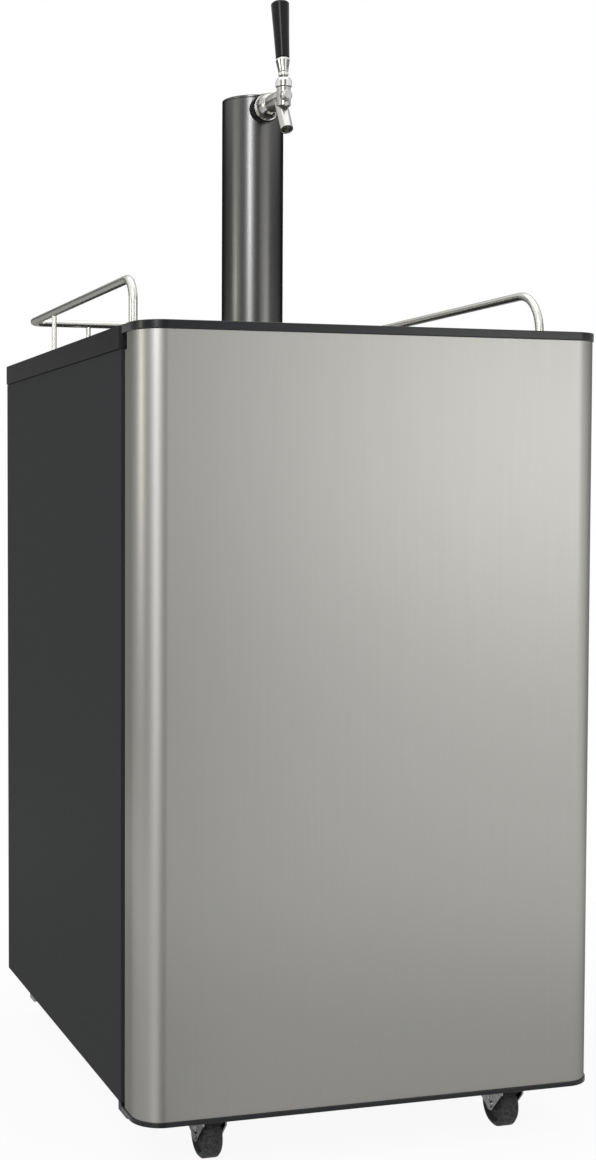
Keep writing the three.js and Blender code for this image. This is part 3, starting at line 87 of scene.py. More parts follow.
class Corner(Enum):
    """The corner of the cabinet that a caster carries."""

    FRONT_LEFT = "front_left"
    FRONT_RIGHT = "front_right"
    REAR_LEFT = "rear_left"
    REAR_RIGHT = "rear_right"


def mm(*points: Pair) -> Outline:
    """Gives an outline whose points are written in millimetres."""
    return tuple((first * MM, second * MM) for first, second in points)


def drum(radius: float, low: float, high: float) -> list[Pair]:
    """Gives the outline of a plain cylinder between two heights."""
    return [(0, low), (radius, low), (radius, high), (0, high)]


def middle(node: str) -> Triple:
    """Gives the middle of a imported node's box."""
    low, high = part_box(node)
    return tuple((first + second) / 2 for first, second in zip(low, high))


def half_width(node: str) -> float:
    """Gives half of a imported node's width along X."""
    low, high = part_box(node)
    return (high.x - low.x) / 2


def heights(node: str) -> Pair:
    """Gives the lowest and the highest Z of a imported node."""
    low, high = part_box(node)
    return low.z, high.z


def placed(name: str, data: bpy.types.ID) -> Object:
    """Puts an object with some data into the scene, at the origin.

    Args:
        name: The object's name.
        data: Its mesh, lamp or camera.

    Returns:
        The object.
    """
    made = bpy.data.objects.new(name, data)
    bpy.context.scene.collection.objects.link(made)
    return made


def baked(source: Object) -> Mesh:
    """Gives the plain mesh that an object's modifiers make, and removes the object.

    Args:
        source: The object with its modifiers.

    Returns:
        The plain mesh.
    """
    made = bpy.data.meshes.new_from_object(source.evaluated_get(bpy.context.evaluated_depsgraph_get()))
    bpy.data.objects.remove(source)
    return made


class Graph:
    """A node tree that is being built."""

    def __init__(self, tree: Tree) -> None:
        """Keeps the tree that the nodes go into."""
        self.tree = tree

    def node(self, kind: str, values: dict | None = None, **settings: object) -> Node:
        """Adds a node.

        Args:
            kind: The node's type name.
            values: The values of its inputs, by label or number.
            **settings: The values of its properties.

        Returns:
            The new node.
        """
        made = self.tree.nodes.new(kind)
        for label, value in settings.items():
            setattr(made, label, value)
        for label, value in (values or {}).items():
            made.inputs[label].default_value = value
        return made

    def join(self, *links: tuple) -> None:
        """Joins nodes.

        Args:
            *links: A node, its output, the next node and its input, each time.
        """
        for source, output, target, place in links:
            self.tree.links.new(source.outputs[output], target.inputs[place])

    def feed(self, value: object, target: Socket) -> None:
        """Links a socket to an input, or writes a number or a colour into it.

        Args:
            value: The socket, number or colour.
            target: The input.
        """
        if isinstance(value, Socket):
            self.tree.links.new(value, target)
        else:
            target.default_value = (*value, 1) if isinstance(value, tuple) else value

    def math(self, operation: str, first: object, second: object) -> Socket:
        """Adds a math node whose result stays between 0 and 1.

        Args:
            operation: The node's operation.
            first: A socket or a number.
            second: A socket or a number.

        Returns:
            The result.
        """
        made = self.node("ShaderNodeMath", operation=operation, use_clamp=True)
        self.feed(first, made.inputs[0])
        self.feed(second, made.inputs[1])
        return made.outputs[0]

    def mask(self, group: Tree, **values: object) -> Socket:
        """Places a shared group, with the values of its inputs, and gives its mask."""
        return self.node("ShaderNodeGroup", values, node_tree=group).outputs["Mask"]

    def blend(self, mask: Socket, low: object, high: object) -> Socket:
        """Mixes two colours by a mask.

        Args:
            mask: Where it is 1, the second colour shows.
            low: A colour or a socket.
            high: A colour or a socket.

        Returns:
            The mixed colour.
        """
        made = self.node("ShaderNodeMix", data_type="RGBA")
        for place, value in ((0, mask), (6, low), (7, high)):
            self.feed(value, made.inputs[place])
        return made.outputs[2]


def new_material(name: str) -> tuple[bpy.types.Material, Graph]:
    """Starts a material.

    Args:
        name: The material's name.

    Returns:
        The material and its graph.
    """
    made = bpy.data.materials.new(name)
    made.use_nodes = True
    return made, Graph(made.node_tree)


def shader_group(name: str, **kinds: str) -> tuple[Graph, Node, Node]:
    """Starts a shader node group that puts out one mask.

    Args:
        name: The group's name.
        **kinds: The kind of each input.

    Returns:
        The group's graph, its input node and its output node.
    """
    tree = bpy.data.node_groups.new(name, "ShaderNodeTree")
    for label, kind in kinds.items():
        tree.interface.new_socket(name=label, in_out="INPUT", socket_type="NodeSocket" + kind)
    tree.interface.new_socket(name="Mask", in_out="OUTPUT", socket_type="NodeSocketFloat")
    graph = Graph(tree)
    return graph, graph.node("NodeGroupInput"), graph.node("NodeGroupOutput")


def grain_group() -> Tree:
    """Builds the grain: streaks or specks on Object coordinates.

    Returns:
        A group with the inputs Stretch and Contrast.
    """
    graph, source, result = shader_group("surface_grain", Stretch="Vector", Contrast="Float")
    place = graph.node("ShaderNodeTexCoord")
    scaled = graph.node("ShaderNodeMapping")
    noise = graph.node("ShaderNodeTexNoise", {"Scale": 1, "Detail": 4})
    centred = graph.node("ShaderNodeMath", {1: 0.5}, operation="SUBTRACT")
    widened = graph.node("ShaderNodeMath", {2: 0.5}, operation="MULTIPLY_ADD", use_clamp=True)
    graph.join((place, "Object", scaled, "Vector"), (source, "Stretch", scaled, "Scale"),
               (scaled, "Vector", noise, "Vector"), (noise, "Fac", centred, 0), (centred, 0, widened, 0),
               (source, "Contrast", widened, 1), (widened, 0, result, "Mask"))
    return graph.tree


def wear_group() -> Tree:
    """Builds the rubbed edges: a mask that is high on outer edges, broken up by noise.

    Returns:
        A group with the inputs Reach and Patches.
    """
    graph, source, result = shader_group("rubbed_edges", Reach="Float", Patches="Float")
    shape = graph.node("ShaderNodeNewGeometry")
    place = graph.node("ShaderNodeTexCoord")
    noise = graph.node("ShaderNodeTexNoise")
    graph.join((place, "Object", noise, "Vector"), (source, "Patches", noise, "Scale"))
    raised = graph.math("SUBTRACT", shape.outputs["Pointiness"], 0.5)
    spread = graph.math("MULTIPLY", raised, source.outputs["Reach"])
    graph.feed(graph.math("MULTIPLY", spread, noise.outputs["Fac"]), result.inputs["Mask"])
    return graph.tree


def dust_group() -> Tree:
    """Builds the dust: a soft mask on faces that look up.

    Returns:
        A group with the inputs Amount and Patches.
    """
    graph, source, result = shader_group("settled_dust", Amount="Float", Patches="Float")
    shape = graph.node("ShaderNodeNewGeometry")
    parts = graph.node("ShaderNodeSeparateXYZ")
    place = graph.node("ShaderNodeTexCoord")
    noise = graph.node("ShaderNodeTexNoise")
    graph.join((shape, "Normal", parts, 0), (place, "Object", noise, "Vector"),
               (source, "Patches", noise, "Scale"))
    upward = graph.math("POWER", graph.math("MAXIMUM", parts.outputs["Z"], 0), 3)
    patchy = graph.math("MULTIPLY", upward, noise.outputs["Fac"])
    graph.feed(graph.math("MULTIPLY", patchy, source.outputs["Amount"]), result.inputs["Mask"])
    return graph.tree


GRAIN = grain_group()
WEAR = wear_group()
DUST = dust_group()


@dataclass(frozen=True)
class Finish:
    """What every finish has: a base colour with grain in it, roughness and a fine relief."""

    name: str
    slot: str
    colour: Triple
    second: Triple  # the colour that the grain runs into
    roughness: float
    spread: float = 0.08  # how far the grain changes the roughness
    stretch: Triple = (400, 400, 400)  # grains per metre along X, Y and Z
    contrast: float = 2.5
    relief: float = 0.02 * MM
    smoothest: float = 0.02  # the lowest roughness that the grain may leave

    def material(self) -> bpy.types.Material:
        """Gives the finish's material, which is built once."""
        return bpy.data.materials.get(self.name) or self.build()

    def build(self) -> bpy.types.Material:
        """Builds the material: grain into colour, roughness and relief, then the finish's own part.

        Returns:
            The new material.
        """
        made, graph = new_material(self.name)
        shader = made.node_tree.nodes["Principled BSDF"]
        grain = graph.mask(GRAIN, Stretch=self.stretch, Contrast=self.contrast)
        smooth = max(self.smoothest, self.roughness - self.spread)
        rough = graph.node("ShaderNodeMapRange", {"To Min": smooth, "To Max": self.roughness + self.spread})
        bump = graph.node("ShaderNodeBump", {"Strength": 1, "Distance": self.relief})
        graph.feed(grain, rough.inputs["Value"])
        graph.feed(grain, bump.inputs["Height"])
        graph.join((rough, "Result", shader, "Roughness"), (bump, "Normal", shader, "Normal"))
        colour = graph.blend(grain, self.colour, self.second)
        graph.feed(self.dress(graph, shader, colour), shader.inputs["Base Color"])
        made.diffuse_color = (*self.colour, 1)
        return made

    def dress(self, graph: Graph, shader: Node, colour: Socket) -> Socket:
        """Adds what sets the finish apart, and gives the colour that goes into the shader."""
        return colour


@dataclass(frozen=True)
class Metal(Finish):
    """Bare, brushed, plated or polished metal."""

    anisotropy: float = 0.0
    # A dark edge tint is painted shade: it darkens the rims, where the metal would otherwise reflect the
    # white surroundings.
    edge: Triple = (1, 1, 1)  # tint of what the metal reflects at a grazing angle
    smudges: float = 3.0  # patches per metre of slightly duller metal
    smudge_contrast: float = 1.2
    smudge_share: float = 0.6
    dulling: float = 0.06

    def dress(self, graph: Graph, shader: Node, colour: Socket) -> Socket:
        """Makes the shader metallic, with broad and very soft patches.

        Args:
            graph: The material's graph.
            shader: The material's Principled BSDF.
            colour: The grained base colour.

        Returns:
            The colour that goes into the shader.
        """
        shader.inputs["Metallic"].default_value = 1
        shader.inputs["Anisotropic"].default_value = self.anisotropy
        shader.inputs["Specular Tint"].default_value = (*self.edge, 1)
        patch = graph.mask(GRAIN, Stretch=(self.smudges,) * 3, Contrast=self.smudge_contrast)
        darker = tuple(part * (1 - self.dulling) for part in self.colour)
        return graph.blend(graph.math("MULTIPLY", patch, self.smudge_share), colour, darker)


@dataclass(frozen=True)
class Coat(Finish):
    """Paint, plastic or rubber: rubbed edges and a little settled dust."""

    rubbed: Triple = (0.12, 0.12, 0.12)
    wear: float = 6.0
    wear_patches: float = 60  # per metre
    dust: float = 0.1
    dust_patches: float = 9  # per metre
    dust_colour: Triple = (0.3, 0.29, 0.27)
    gloss: float = 0.0  # weight of a clear coat
    gloss_roughness: float = 0.05
    level: float = 0.5  # the shader's specular level

    def dress(self, graph: Graph, shader: Node, colour: Socket) -> Socket:
        """Adds the clear coat, the rubbed edges and the dust.

        Args:
            graph: The material's graph.
            shader: The material's Principled BSDF.
            colour: The grained base colour.

        Returns:
            The colour that goes into the shader.
        """
        shader.inputs["Coat Weight"].default_value = self.gloss
        shader.inputs["Coat Roughness"].default_value = self.gloss_roughness
        shader.inputs["Specular IOR Level"].default_value = self.level
        rubbing = graph.mask(WEAR, Reach=self.wear, Patches=self.wear_patches)
        dusting = graph.mask(DUST, Amount=self.dust, Patches=self.dust_patches)
        return graph.blend(dusting, graph.blend(rubbing, colour, self.rubbed), self.dust_colour)


STAINLESS = Metal("brushed_stainless", "stainless", (0.4, 0.395, 0.375), (0.385, 0.38, 0.36), 0.37, 0.015,
                  (1500, 1500, 9), relief=0.0004 * MM, anisotropy=0.3, edge=(0.35, 0.35, 0.33))
SATIN = Metal("satin_steel_tube", "satin_steel", (0.78, 0.77, 0.72), (0.74, 0.73, 0.69), 0.28, 0.02,
              (500, 500, 500), relief=0, edge=(0.4, 0.4, 0.4))
# Its near-black edge tint paints dark shade down the tube's sides.
SMOKED = Metal("smoked_steel_tube", "smoked_steel", (0.15, 0.149, 0.144), (0.14, 0.139, 0.134), 0.28, 0.02,
               (1400, 1400, 12), relief=0.001 * MM, edge=(0.02, 0.02, 0.02))
# Softer chrome, with its base colour kept darker than the bright chrome's: painted shade in the body's
# reflections.
TAP_CHROME = Metal("soft_shaded_chrome", "chrome", (0.56, 0.55, 0.525), (0.5, 0.49, 0.47), 0.22, 0.02,
                   (160, 160, 160), 1.5, 0, edge=(0.4, 0.4, 0.4))
# Its dark base and darker patches are partly painted shade for the fork's dim reflections under the cabinet,
# and partly random wear.
FORK_CHROME = Metal("worn_and_shaded_chrome", "chrome", (0.45, 0.45, 0.45), (0.2, 0.2, 0.2), 0.2, 0.05,
                    (400, 400, 400), 3, 0, edge=(0.3, 0.3, 0.3))
CHROME = Metal("bright_chrome", "chrome", (0.78, 0.77, 0.74), (0.73, 0.72, 0.69), 0.1, 0.03,
               (120, 120, 120), 1.5, 0, edge=(0.35, 0.35, 0.35))
ZINC = Metal("zinc_sheet", "zinc", (0.36, 0.37, 0.37), (0.24, 0.25, 0.26), 0.42,
             stretch=(90, 90, 90), contrast=4, relief=0.006 * MM)
ALUMINIUM = Metal("roll_bonded_aluminium", "aluminium", (0.6, 0.61, 0.62), (0.5, 0.51, 0.53), 0.38,
                  stretch=(20, 700, 700), relief=0.006 * MM)
COPPER = Metal("drawn_copper", "copper", (0.55, 0.2, 0.085), (0.34, 0.11, 0.05), 0.3,
               stretch=(260, 260, 260), contrast=3)
GREY_PAINT = Coat("textured_grey_paint", "grey_paint", (0.037, 0.038, 0.039), (0.032, 0.033, 0.034), 0.55,
                  stretch=(1300, 1300, 1300), wear=0, dust=0.02, level=0.01)
BLACK_PAINT = Coat("black_paint", "black_paint", (0.012, 0.012, 0.013), (0.017, 0.017, 0.018), 0.35,
                   stretch=(600, 600, 600), level=0.05)
BLACK_PLASTIC = Coat("grained_black_plastic", "black_plastic", (0.014, 0.0145, 0.0155),
                     (0.018, 0.0185, 0.02), 0.42, stretch=(1600, 1600, 1600), wear=1, dust=0.03, level=0.03)
CAP_PLASTIC = Coat("smooth_black_plastic", "black_plastic", (0.01, 0.0108, 0.012), (0.012, 0.0128, 0.014),
                   0.22, 0.02, (1600, 1600, 1600), relief=0.002 * MM, wear=1, dust=0.03, level=0.3)
GLOSS_BLACK = Coat("glossy_black_plastic", "gloss_black", (0.004, 0.004, 0.005), (0.005, 0.005, 0.006),
                   0.25, 0.01, (200, 200, 200), relief=0, wear=0, dust=0.01, level=0.22)
DARK_LINER = Coat("dark_liner_plastic", "dark_liner", (0.03, 0.031, 0.034), (0.036, 0.037, 0.04), 0.36,
                  stretch=(500, 500, 500), relief=0.01 * MM, wear=0, dust=0.02)
RUBBER = Coat("black_rubber", "rubber", (0.011, 0.011, 0.011), (0.045, 0.045, 0.044), 0.6,
              stretch=(350, 350, 350), contrast=3, relief=0.25 * MM, rubbed=(0.06, 0.06, 0.06), wear=2,
              dust=0.15, level=0.2)
FOAM = Coat("rigid_foam", "foam", (0.68, 0.55, 0.28), (0.5, 0.38, 0.17), 0.9,
            stretch=(700, 700, 700), contrast=4, relief=0.2 * MM, wear=0, level=0.2)
HOSE = Coat("pale_hose", "pale_tube", (0.68, 0.72, 0.72), (0.6, 0.64, 0.65), 0.25,
            stretch=(90, 90, 90), relief=0.01 * MM, wear=0, gloss=0.4)


def rounded(points: Sequence[Pair], radius: float, steps: int = 4, closed: bool = False) -> list[Pair]:
    """Rounds the corners of a flat line of points.

    Args:
        points: The corners.
        radius: The wanted radius, made smaller where a side is short.
        steps: Pieces in each arc.
        closed: Whether the last corner joins the first.

    Returns:
        The line with an arc at each corner.
    """
    nearly_straight = math.radians(85)  # half the angle between two sides that need no arc
    side_share = 0.45  # how much of a side one arc may take
    corners = [Vector(point) for point in points]
    count = len(corners)
    made: list[Vector] = []
    for index, corner in enumerate(corners):
        before = corners[index - 1] - corner
        after = corners[(index + 1) % count] - corner
        half = before.angle(after) / 2
        if half > nearly_straight or (not closed and index in (0, count - 1)):
            made.append(corner)
            continue
        wanted = radius / max(math.tan(half), 1e-6)
        reach = min(wanted, side_share * before.length, side_share * after.length)
        before.normalize()
        after.normalize()
        centre = corner + (before + after).normalized() * reach / math.cos(half)
        first, last = corner + before * reach - centre, corner + after * reach - centre
        turn = first.angle_signed(last)
        for step in range(steps + 1):
            arm = first.copy()
            arm.rotate(Matrix.Rotation(-turn * step / steps, 2))
            made.append(centre + arm)
    return [(point.x, point.y) for point in made]


class Form:
    """One piece's mesh while it is being made."""

    MERGE = 0.005 * MM
    FLAT = math.radians(0.4)

    def __init__(self, name: str, crease: float = 42) -> None:
        """Starts an empty mesh.

        Args:
            name: The piece's name.
            crease: Edges that turn by more than this many degrees stay sharp.
        """
        self.name = name
        self.crease = math.radians(crease)
        self.bm = bmesh.new()

    def loft(self, rings: Sequence[Sequence[Vector]], slot: int = 0, looped: bool = False) -> "Form":
        """Joins rings of points into a closed shell, with its faces turned outwards.

        Args:
            rings: Rings with the same number of points, or with one point at a pole.
            slot: Which of the piece's finishes it takes.
            looped: Whether the last ring joins the first, instead of both ends being closed.

        Returns:
            The form itself.
        """
        made = [[self.bm.verts.new(point) for point in ring] for ring in rings]
        faces = []
        pairs = list(zip(made, made[1:]))
        if looped:
            pairs.append((made[-1], made[0]))
        for low, high in pairs:
            count = max(len(low), len(high))
            for index in range(count):
                after = (index + 1) % count
                corners = [low[index % len(low)], low[after % len(low)],
                           high[after % len(high)], high[index % len(high)]]
                faces.append(self.bm.faces.new(list(dict.fromkeys(corners))))
        if not looped:
            faces += [self.bm.faces.new(ring) for ring in (made[0], made[-1]) if len(ring) > 2]
        bmesh.ops.recalc_face_normals(self.bm, faces=faces)
        for face in faces:
            face.material_index = slot
        return self

    def lathe(self, outline: Sequence[Pair], place: Matrix, turns: int = 96, slot: int = 0,
              edge: float = 0, steps: int = 4) -> "Form":
        """Turns an outline round an axis. It is a hollow ring where it doesn't start on the axis.

        Args:
            outline: Points of radius and height.
            place: Where the shape goes.
            turns: Faces round the axis.
            slot: Which of the piece's finishes it takes.
            edge: The radius of its rounded corners.
            steps: Pieces in each rounded corner.

        Returns:
            The form itself.
        """
        hollow = outline[0][0] > self.MERGE
        points = rounded(outline, edge, steps, hollow) if edge else outline
        rings = []
        for radius, height in points:
            sides = 1 if radius < self.MERGE else turns
            angles = [FULL_TURN * index / turns for index in range(sides)]
            ring = [(radius * math.cos(angle), radius * math.sin(angle), height) for angle in angles]
            rings.append([place @ Vector(point) for point in ring])
        return self.loft(rings, slot, hollow)

    def block(self, low: Sequence[float], high: Sequence[float], slot: int = 0) -> "Form":
        """Adds a block.

        Args:
            low: Its lowest corner.
            high: Its highest corner.
            slot: Which of the piece's finishes it takes.

        Returns:
            The form itself.
        """
        flat = ((low[0], low[1]), (high[0], low[1]), (high[0], high[1]), (low[0], high[1]))
        return self.loft([[Vector((x, y, z)) for x, y in flat] for z in (low[2], high[2])], slot)

    def copy(self, node: str) -> "Form":
        """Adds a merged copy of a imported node, with its flat faces whole.

        Args:
            node: The node's name.

        Returns:
            The form itself.
        """
        part = bmesh.new()
        part.from_mesh(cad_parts[node].data)
        bmesh.ops.remove_doubles(part, verts=part.verts, dist=self.MERGE)
        bmesh.ops.dissolve_limit(part, angle_limit=self.FLAT, verts=part.verts, edges=part.edges)
        for face in part.faces:
            face.material_index = 0
        return self.take(part)

    def take(self, part: bmesh.types.BMesh) -> "Form":
        """Moves another mesh that is being made into this one, and frees it.

        Args:
            part: The other mesh.

        Returns:
            The form itself.
        """
        spare = bpy.data.meshes.new("spare")
        part.to_mesh(spare)
        part.free()
        return self.mesh(spare)

    def mesh(self, made: Mesh) -> "Form":
        """Moves a finished mesh into this one, and removes it.

        Args:
            made: The finished mesh.

        Returns:
            The form itself.
        """
        self.bm.from_mesh(made)
        bpy.data.meshes.remove(made)
        return self

    def soften(self, width: float, steps: int = 2, crease: float = 30) -> "Form":
        """Bevels the edges that are sharper than an angle.

        Args:
            width: The bevel's width.
            steps: Pieces in the bevel.
            crease: The angle in degrees.

        Returns:
            The form itself.
        """
        limit = math.radians(crease)
        joined = [edge for edge in self.bm.edges if len(edge.link_faces) == 2]
        sharp = [edge for edge in joined if edge.calc_face_angle() > limit]
        bmesh.ops.bevel(self.bm, geom=sharp, offset=width, offset_type="OFFSET", segments=steps,
                        profile=0.5, affect="EDGES", clamp_overlap=True)
        return self

    def done(self) -> Object:
        """Ends the mesh: smooth faces, sharp creases and normals that keep flat faces flat.

        Returns:
            The finished object, at the origin.
        """
        for face in self.bm.faces:
            face.smooth = True
        for edge in self.bm.edges:
            edge.smooth = len(edge.link_faces) == 2 and edge.calc_face_angle() < self.crease
        mesh = bpy.data.meshes.new("rough")
        self.bm.to_mesh(mesh)
        self.bm.free()
        rough = placed("rough", mesh)
        rough.modifiers.new("normals", "WEIGHTED_NORMAL").keep_sharp = True
        made = baked(rough)
        bpy.data.meshes.remove(mesh)
        made.name = self.name
        return placed(self.name, made)


class Recipe:
    """A Geometry Nodes tree with named inputs, run on a mesh of points or edges."""

    def __init__(self, name: str, **kinds: str) -> None:
        """Starts the tree.

        Args:
            name: The tree's name.
            **kinds: The kind of each input between the geometry and the finish.
        """
        self.tree = bpy.data.node_groups.new(name, "GeometryNodeTree")
        self.graph = Graph(self.tree)
        face = self.tree.interface
        face.new_socket(name="Geometry", in_out="OUTPUT", socket_type="NodeSocketGeometry")
        for label, kind in {"Geometry": "Geometry", **kinds, "Finish": "Material"}.items():
            face.new_socket(name=label, in_out="INPUT", socket_type="NodeSocket" + kind)
        self.source = self.graph.node("NodeGroupInput")
        self.result = self.graph.node("NodeGroupOutput")

    def close(self, shape: Node, output: str) -> None:
        """Ends the tree in real geometry with its material.

        Args:
            shape: The node that holds the shape.
            output: The shape's output.
        """
        real = self.graph.node("GeometryNodeRealizeInstances")
        dressed = self.graph.node("GeometryNodeSetMaterial")
        self.graph.join((shape, output, real, "Geometry"), (real, "Geometry", dressed, "Geometry"),
                        (self.source, "Finish", dressed, "Material"),
                        (dressed, "Geometry", self.result, "Geometry"))

    def run(self, base: Mesh, finish: Finish, **values: object) -> Mesh:
        """Runs the tree.

        Args:
            base: The mesh that the tree starts from, which is removed.
            finish: The finish of what it makes.
            **values: The value of each named input.

        Returns:
            A plain mesh.
        """
        carrier = placed("carrier", base)
        modifier = carrier.modifiers.new("recipe", "NODES")
        modifier.node_group = self.tree
        wanted = {**values, "Finish": finish.material()}
        for item in self.tree.interface.items_tree:
            if item.in_out == "INPUT" and item.name in wanted:
                modifier[item.identifier] = wanted[item.name]
        carrier.update_tag()
        made = baked(carrier)
        bpy.data.meshes.remove(base)
        return made


class TubeRecipe(Recipe):
    """A round tube along a line of corners, with its own bend radius at each corner."""

    def __init__(self) -> None:
        """Builds the tree: fillet the line, sweep a circle along it."""
        super().__init__("tube_along_line", Radius="Float", Sides="Int", Steps="Int")
        node, source = self.graph.node, self.source
        curve = node("GeometryNodeMeshToCurve")
        bend = node("GeometryNodeInputNamedAttribute", {"Name": "bend"}, data_type="FLOAT")
        fillet = node("GeometryNodeFilletCurve", {"Limit Radius": True}, mode="POLY")
        circle = node("GeometryNodeCurvePrimitiveCircle")
        sweep = node("GeometryNodeCurveToMesh", {"Fill Caps": True})
        self.graph.join((source, "Geometry", curve, "Mesh"), (curve, "Curve", fillet, "Curve"),
                        (bend, "Attribute", fillet, "Radius"), (source, "Steps", fillet, "Count"),
                        (source, "Radius", circle, "Radius"), (source, "Sides", circle, "Resolution"),
                        (fillet, "Curve", sweep, "Curve"), (circle, "Curve", sweep, "Profile Curve"))
        self.close(sweep, "Mesh")

    def tube(self, corners: Sequence[Sequence[float]], bends: Sequence[float], radius: float,
             finish: Finish, sides: int = 24, steps: int = 10) -> Mesh:
        """Makes a tube.

        Args:
            corners: The corners of its middle line.
            bends: The bend radius at each inner corner.
            radius: The tube's radius.
            finish: The tube's finish.
            sides: Faces round the tube.
            steps: Pieces in each bend.

        Returns:
            The tube's mesh.
        """
        base = bpy.data.meshes.new("line")
        base.from_pydata(list(corners), [(i, i + 1) for i in range(len(corners) - 1)], [])
        layer = base.attributes.new("bend", "FLOAT", "POINT")
        for index, value in enumerate((0.0, *bends, 0.0)):
            layer.data[index].value = value
        return self.run(base, finish, Radius=radius, Sides=sides, Steps=steps)


class ScatterRecipe(Recipe):
    """Copies of a small shape, each with its own place and facing."""

    def __init__(self) -> None:
        """Builds the tree: one copy on each point, turned towards the point's facing."""
        super().__init__("copies_on_points", Shape="Object")
        node, source = self.graph.node, self.source
        shape = node("GeometryNodeObjectInfo")
        facing = node("GeometryNodeInputNamedAttribute", {"Name": "facing"}, data_type="FLOAT_VECTOR")
        turn = node("FunctionNodeAlignRotationToVector", axis="Z")
        copies = node("GeometryNodeInstanceOnPoints")
        self.graph.join((source, "Shape", shape, "Object"), (facing, "Attribute", turn, "Vector"),
                        (source, "Geometry", copies, "Points"), (shape, "Geometry", copies, "Instance"),
                        (turn, "Rotation", copies, "Rotation"))
        self.close(copies, "Instances")

    def copies(self, shape: Object, spots: Sequence[Spot], finish: Finish) -> Mesh:
        """Makes the copies.

        Args:
            shape: The small shape, at the origin, with +Z as its facing. It is removed afterwards.
            spots: The place and the facing of each copy.
            finish: The copies' finish.

        Returns:
            One mesh with all the copies.
        """
        base = bpy.data.meshes.new("points")
        base.from_pydata([place for place, _ in spots], [], [])
        layer = base.attributes.new("facing", "FLOAT_VECTOR", "POINT")
        for index, (_, facing) in enumerate(spots):
            layer.data[index].vector = facing
        made = self.run(base, finish, Shape=shape)
        bpy.data.objects.remove(shape)
        return made


class WireRecipe(Recipe):
    """A row of parallel upright wires."""

    def __init__(self) -> None:
        """Builds the tree: a line of points, an upright wire on each."""
        super().__init__("row_of_wires", Count="Int", Start="Vector", Pitch="Vector", Radius="Float",
                         Length="Float")
        node, source = self.graph.node, self.source
        line = node("GeometryNodeMeshLine")
        wire = node("GeometryNodeMeshCylinder", {"Vertices": 8})
        copies = node("GeometryNodeInstanceOnPoints")
        self.graph.join((source, "Count", line, "Count"), (source, "Start", line, "Start Location"),
                        (source, "Pitch", line, "Offset"), (source, "Radius", wire, "Radius"),
                        (source, "Length", wire, "Depth"), (line, "Mesh", copies, "Points"),
                        (wire, "Mesh", copies, "Instance"))
        self.close(copies, "Instances")

    def row(self, start: Triple, pitch: float, count: int, radius: float, length: float,
            finish: Finish) -> Mesh:
        """Makes a row that runs along X.

        Args:
            start: The middle of the first wire.
            pitch: The step from wire to wire.
            count: How many wires.
            radius: Each wire's radius.
            length: Each wire's length.
            finish: The wires' finish.

        Returns:
            One mesh with all the wires.
        """
        return self.run(bpy.data.meshes.new("seed"), finish, Start=start, Pitch=(pitch, 0, 0),
                        Count=count, Radius=radius, Length=length)


TUBES = TubeRecipe()
COPIES = ScatterRecipe()
WIRES = WireRecipe()


@dataclass
class SubAssembly:
    """What every sub-assembly has: ways to make its pieces and to hand them over."""

    def hand_over(self, form: Form, finishes: Sequence[Finish], replaced: Sequence[str] = (),
                  body: str = "cabinet") -> None:
        """Ends a piece, gives it its finishes and its body, and reports it.

        Args:
            form: The piece's form.
            finishes: Its finishes; the first one names its slot.
            replaced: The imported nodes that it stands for.
            body: The body that it rides on.
        """
        piece = form.done()
        piece.data.materials.clear()
        for finish in finishes:
            piece.data.materials.append(finish.material())
        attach(piece, body)
        if replaced:
            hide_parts(*replaced)
        LOG.info("%s: %d faces on %s", piece.name, len(piece.data.polygons), body)

    def carry(self, node: str, finish: Finish) -> None:
        """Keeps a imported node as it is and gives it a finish.

        Args:
            node: The node's name.
            finish: Its finish.
        """
        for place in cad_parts[node].material_slots:
            place.material = finish.material()
        LOG.info("%s: carried", node)

    def soften(self, node: str, finish: Finish, width: float, steps: int = 2, body: str = "cabinet") -> None:
        """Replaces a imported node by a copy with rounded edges.

        Args:
            node: The node's name.
            finish: Its finish.
            width: The width of its rounded edges.
            steps: Pieces in each rounded edge.
            body: The body that it rides on.
        """
        self.hand_over(Form("dressed_" + node).copy(node).soften(width, steps), [finish], [node], body)

    def turn(self, name: str, node: str, finish: Finish, outline: Sequence[Pair], place: Matrix, edge: float,
             steps: int = 4, turns: int = 96, body: str = "cabinet") -> None:
        """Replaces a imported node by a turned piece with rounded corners.

        Args:
            name: The new piece's name.
            node: The node's name.
            finish: Its finish.
            outline: Points of radius and height.
            place: Where the shape goes.
            edge: The radius of its corners.
            steps: Pieces in each corner.
            turns: Faces round the axis.
            body: The body that it rides on.
        """
        self.hand_over(Form(name).lathe(outline, place, turns, 0, edge, steps), [finish], [node], body)


@dataclass
class Screws:
    """Round cross-head screws of one size."""

    radius: float = 3.4 * MM
    height: float = 1.8 * MM
    slit: float = 1.1 * MM
    depth: float = 0.9 * MM
    arm_share: float = 0.6  # half the cross's length, as a share of the radius
    arcs: int = 4
    crease: float = 30  # degrees

    def shape(self) -> Object:
        """Makes one screw head at the origin: a low dome with a cross cut into it.

        Returns:
            The head, facing +Z.
        """
        dome = [(0, 0), (self.radius, 0), (self.radius, self.height / 3)]
        for step in range(1, self.arcs):
            angle = math.pi / 2 * step / self.arcs
            dome.append((self.radius * math.cos(angle), self.height * (1 + 2 * math.sin(angle)) / 3))
        head = Form("screw_head").lathe([*dome, (0, self.height)], IDENTITY, 20).done()
        arms = Form("screw_cross")
        long, short = self.radius * self.arm_share, self.slit / 2
        for x, y in ((long, short), (short, long)):
            arms.block((-x, -y, self.height - self.depth), (x, y, self.height * 2))
        cut = head.modifiers.new("cross", "BOOLEAN")
        cut.object = arms.done()
        cut.operation = "DIFFERENCE"
        cut.use_self = True
        cross = cut.object
        made = baked(head)
        bpy.data.objects.remove(cross)
        return placed("screw", made)

    def set(self, name: str, spots: Sequence[Spot], finish: Finish) -> Form:
        """Makes one piece with a set of screws, each with its place and facing."""
        return Form(name, self.crease).mesh(COPIES.copies(self.shape(), spots, finish))


